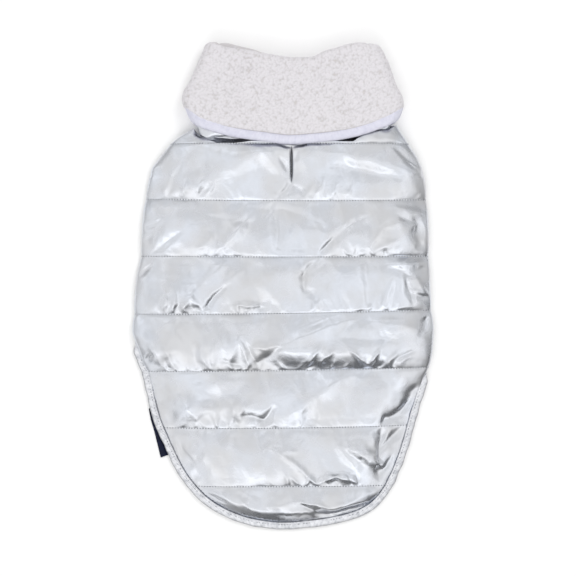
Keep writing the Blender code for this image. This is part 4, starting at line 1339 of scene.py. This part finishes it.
def knob_heights(points):
    """How high each point stands in its knob and in its curl: 0 in a valley, 1 on the top."""
    size, reach = KNOB_STRAY
    heights = []
    for x, y, z in points.tolist():
        place = Vector((x, y, KNOB_STANDING * z)) + reach * noise.noise_vector((x / size, y / size, z / size))
        knob = noise.voronoi(place / KNOB_SIZE)[0][0]
        curl = noise.voronoi(place / CURL_SIZE)[0][0]
        heights.append((max(1.0 - 1.3 * knob * knob, 0.0), max(1.0 - curl, 0.0)))
    return np.array(heights)


def make_collar_lining():
    def ring(leg_share, below_fold, offset, side_inset=0.0, crowned=False):
        def y_at(share, back, x):
            start = fold_y(share, back) - below_fold
            return blend(start, bound_edge_y(share, back, x) + COLLAR_BINDING_WIDTH, leg_share)

        return collar_ring(y_at, offset, side_inset=side_inset, crowned=crowned)

    def leg(share, offset, inset=0.0, crowned=False):
        return ring(share, FOLD_RADIUS, offset, inset, crowned)

    rings = [leg(share, offset, crowned=True) for share, offset in PILE_LIP]
    rings += [leg(PILE_START * (1.0 - step / PILE_STEPS), 0.0, crowned=True) for step in range(PILE_STEPS)]
    for turn in [math.pi * step / FOLD_STEPS for step in range(FOLD_STEPS + 1)]:
        place = (0.0, FOLD_RADIUS * (1.0 - math.sin(turn)), FOLD_RADIUS * (1.0 - math.cos(turn)))
        rings.append(blend(ring(*place, crowned=True), ring(*place), ease(turn / math.pi)))
    hairy = len(rings)
    rings += [leg(share, 2.0 * FOLD_RADIUS, INNER_LEG_INSET) for share in INNER_LEG_SHARES]
    rings += [leg(share, INNER_LEG_OFFSET, INNER_LEG_INSET) for share in reversed(INNER_LEG_SHARES)]
    rings.append(ring(0.0, PILE_LEG + 1.0, INNER_LEG_OFFSET, INNER_LEG_INSET))
    rings.append(ring(0.0, PILE_LEG + 1.0, PILE_LEG))
    rings += [leg(share, PILE_LEG) for share in HOLLOW_SHARES]
    rings = np.array(rings)
    count, size = rings.shape[:2]
    points = rings.reshape(-1, 3)

    along = np.gradient(rings, axis=0)
    across = np.roll(rings, -1, axis=1) - np.roll(rings, 1, axis=1)
    normals = np.cross(across, along).reshape(-1, 3)
    normals /= np.maximum(np.linalg.norm(normals, axis=1), 1e-9)[:, None]
    shows = np.zeros((count, size))
    shows[2:hairy] = 1.0
    shows = shows.reshape(-1)
    chosen = np.flatnonzero(shows)
    knob, curl = np.zeros((2, len(points)))
    knob[chosen], curl[chosen] = knob_heights(points[chosen]).T
    left, right = FOLD_SPAN
    share = np.clip((points[:, 0] - left) / (right - left), 0.0, 1.0)
    start, length = THROAT_FADE
    throat = ease((points[:, 1] - fold_y(share, True) - start) / length) * (share < THROAT_PART)
    rise = KNOB_HEIGHT * (knob - KNOB_LEVEL) + CURL_HEIGHT * (curl - CURL_LEVEL)
    rise *= (1.0 - THROAT_CALM * throat) * shows
    points = points + normals * rise[:, None]
    points[:, 2] = np.maximum(points[:, 2], 0.0)
    # The colour value: painted shade in the valleys between the knobs, and more painted shade on the throat
    # sliver.
    height = np.clip(0.75 * knob + 0.35 * curl - 0.1, 0.0, 1.0) * (1.0 - THROAT_SHADE * throat)
    faces = ring_faces(count, size, closed=True)
    return make_piece("collar_pile_lining", points, faces, curly_pile(), "white_pile", [("height", height)])


collar_lining = make_collar_lining()
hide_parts("collar_lining")

# %% Collar shell
SHELL_LEVELS = 60
SHELL_COLUMNS = 120


def make_collar_shell():
    top_gap = PILE_LEG + 1.0 + 4.0 * SEAM_GAP

    def ring(level, offset, side_inset):
        def y_at(share, back, x):
            return blend(fold_y(share, back) - top_gap, neck_seam(x) + 3.0 * SEAM_GAP, level)

        drop = SHELL_DROP * float(ease(2.0 * level - 1.0))
        return collar_ring(y_at, offset, drop, side_inset, columns=SHELL_COLUMNS)

    levels = np.arange(SHELL_LEVELS + 1) / SHELL_LEVELS
    rings = [ring(level, SHELL_OFFSET, SHELL_SIDE_INSET) for level in levels]
    rings += [ring(level, SHELL_OFFSET + SHELL_THICKNESS, SHELL_INNER_INSET) for level in levels[::-1]]
    rings = np.array(rings)
    upper = rings[: SHELL_LEVELS + 1, : SHELL_COLUMNS + 1]
    drawn_in = crease_height(SHELL_FOLDS, upper[:, :, 0].ravel(), upper[:, :, 1].ravel())
    upper[:, :, 2] += drawn_in.reshape(upper.shape[:2]) * ease(2.0 * levels - 1.0)[:, None]
    points = rings.reshape(-1, 3)
    faces = ring_faces(*rings.shape[:2], closed=True)
    return make_piece("collar_shell_cloth", points, faces, foil, "silver_foil_cloth")


collar_shell = make_collar_shell()
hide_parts("collar_shell")

# %% Collar binding
# distance above its lower edge, offset from the collar's outside
COLLAR_BINDING_SECTION = (
    (0, 1.6), (0, 4.4), (1.2, 5.8), (3, 6), (10.7, 6), (10.7, 0.3), (10, 0), (6, -0.3), (2, 0),
)


def make_collar_binding():
    rings = []
    for above, offset in rounded(COLLAR_BINDING_SECTION):
        rings.append(collar_ring(lambda share, back, x: bound_edge_y(share, back, x) + above, float(offset)))
    rings = np.array(rings)
    rings[:, :, 2] = np.maximum(rings[:, :, 2], 0.0)
    points = rings.reshape(-1, 3)
    along = np.tile(path_lengths(rings[0]) * MM, len(rings))
    faces = ring_faces(*rings.shape[:2], closed=True)
    return make_piece("collar_binding_tape", points, faces, collar_tape, "lilac_binding", [("along", along)])


collar_binding = make_collar_binding()
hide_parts("collar_binding")

# %% [markdown]
# ## Stitches
#
# A lockstitch shows as a row of short thread ends, each sunk into a small pit. There are hundreds, so
# Geometry Nodes make them: a tree puts one small rounded bar on every point along a path, turned to
# follow it, then makes the copies real and gives them the thread's material. The paths run along the
# quilting lines and the bindings of the hem and the collar.

# %% Thread
GREY_THREAD = ("#74777d", "#8c8f95")
LILAC_THREAD = ("#c4c4d4", "#d6d6e4")
TWIST_SIZE = 0.7
STITCH_SPREAD = (0.85, 1.1)  # stitches differ in size by these shares


def thread_material(name, colours):
    material, tree, shader, place = new_material(name, {"Roughness": 0.6})
    colour = add_ramp(tree, add_noise(tree, place, TWIST_SIZE), ((0.3, colours[0]), (0.7, colours[1])))
    link_all(tree, shader, {"Base Color": colour})
    return material


grey_thread = thread_material("grey_polyester_thread", GREY_THREAD)
lilac_thread = thread_material("lilac_polyester_thread", LILAC_THREAD)

# %% Tree of the stitches


def stitch_tree():
    """Paths in, stitches out. The bar's length lies along the path."""
    tree = bpy.data.node_groups.new("stitch_row", "GeometryNodeTree")
    sockets = (
        ("Paths", "INPUT", "Geometry"),
        ("Pitch", "INPUT", "Float"),
        ("Length", "INPUT", "Float"),
        ("Thickness", "INPUT", "Float"),
        ("Thread", "INPUT", "Material"),
        ("Stitches", "OUTPUT", "Geometry"),
    )
    for label, way, kind in sockets:
        tree.interface.new_socket(label, in_out=way, socket_type="NodeSocket" + kind)
    given = add_node(tree, "NodeGroupInput").outputs
    curve = add_node(tree, "GeometryNodeMeshToCurve", {"Mesh": given["Paths"]}).outputs["Curve"]
    sources = {"Curve": curve, "Length": given["Pitch"]}
    points = add_node(tree, "GeometryNodeCurveToPoints", sources, mode="LENGTH").outputs
    bar = add_node(tree, "GeometryNodeMeshUVSphere", None, {"Segments": 6, "Rings": 4, "Radius": 0.5})
    sources = {"X": given["Thickness"], "Y": given["Thickness"], "Z": given["Length"]}
    size = add_node(tree, "ShaderNodeCombineXYZ", sources).outputs[0]
    values = {2: STITCH_SPREAD[0], 3: STITCH_SPREAD[1], "Seed": 5}
    uneven = add_node(tree, "FunctionNodeRandomValue", None, values, data_type="FLOAT").outputs[1]
    sources = {
        "Points": points["Points"],
        "Instance": bar.outputs["Mesh"],
        "Rotation": points["Rotation"],
        "Scale": add_scale(tree, size, uneven),
    }
    copies = add_node(tree, "GeometryNodeInstanceOnPoints", sources).outputs["Instances"]
    real = add_node(tree, "GeometryNodeRealizeInstances", {"Geometry": copies}).outputs["Geometry"]
    dressed = add_node(tree, "GeometryNodeSetMaterial", {"Geometry": real, "Material": given["Thread"]})
    add_node(tree, "NodeGroupOutput", {"Stitches": dressed.outputs["Geometry"]})
    return tree


STITCH_TREE = stitch_tree()


def sew(name, paths, slot_name, thread, pitch=STITCH_PITCH, length=1.8, thickness=0.9):
    """A plain mesh of stitches along paths of points in millimetres."""
    points = np.concatenate(paths) * MM
    edges = []
    start = 0
    for path in paths:
        edges += [(index, index + 1) for index in range(start, start + len(path) - 1)]
        start += len(path)
    mesh = bpy.data.meshes.new(name + "_path")
    mesh.from_pydata(points.tolist(), edges, [])
    guide = bpy.data.objects.new(name + "_path", mesh)
    bpy.context.scene.collection.objects.link(guide)
    modifier = guide.modifiers.new("stitches", "NODES")
    modifier.node_group = STITCH_TREE
    sizes = {"Pitch": pitch * MM, "Length": length * MM, "Thickness": thickness * MM, "Thread": thread}
    for item in STITCH_TREE.interface.items_tree:
        if item.in_out == "INPUT" and item.name in sizes:
            modifier[item.identifier] = sizes[item.name]
    graph = bpy.context.evaluated_depsgraph_get()
    sewn = bpy.data.meshes.new_from_object(guide.evaluated_get(graph))
    bpy.data.objects.remove(guide)
    sewn.name = name
    sewn.shade_smooth()
    piece = bpy.data.objects.new(name, sewn)
    bpy.context.scene.collection.objects.link(piece)
    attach(piece, "root")
    print(name, "has", len(sewn.polygons), "faces")
    return piece


# %% Quilting stitches
STITCH_LIFT = 0.3


def quilt_paths():
    paths = []
    for line in range(1, len(QUILT_LINES)):
        ring = BACK_RINGS[STATIONS.index((line, 0.0))]
        path = ring[FIRST_TOP : LAST_TOP + 1] + (0.0, 0.0, STITCH_LIFT)
        paths.append(path[1:-1])
    return paths


QUILTING_STITCH = {"length": 1.7, "thickness": 1.05}
quilting = sew("quilting_stitches", quilt_paths(), "silver_foil_cloth", grey_thread, **QUILTING_STITCH)

# %% Edge stitches
HEM_STITCHES = (0.6, 5.5)  # distance out from the panel's edge, height
HEM_STITCH_ENDS = 12  # points of the path without stitches at either end
COLLAR_STITCHES = (8.2, -0.05)  # distance above the binding's lower edge, offset from the collar's outside
LEAST_STITCH_HEIGHT = 0.25

hem_line = np.column_stack((HEM_PATH + HEM_STITCHES[0] * HEM_OUT, np.full(len(HEM_PATH), HEM_STITCHES[1])))
hem_line = hem_line[HEM_STITCH_ENDS:-HEM_STITCH_ENDS]
hem_stitches = sew("hem_stitches", [hem_line], "silver_binding", grey_thread, thickness=0.8)
above_edge, collar_offset = COLLAR_STITCHES
collar_line = collar_ring(lambda share, back, x: bound_edge_y(share, back, x) + above_edge, collar_offset)
collar_line[:, 2] = np.maximum(collar_line[:, 2], LEAST_STITCH_HEIGHT)
collar_stitches = sew("collar_stitches", [collar_line], "lilac_binding", lilac_thread, thickness=0.5)
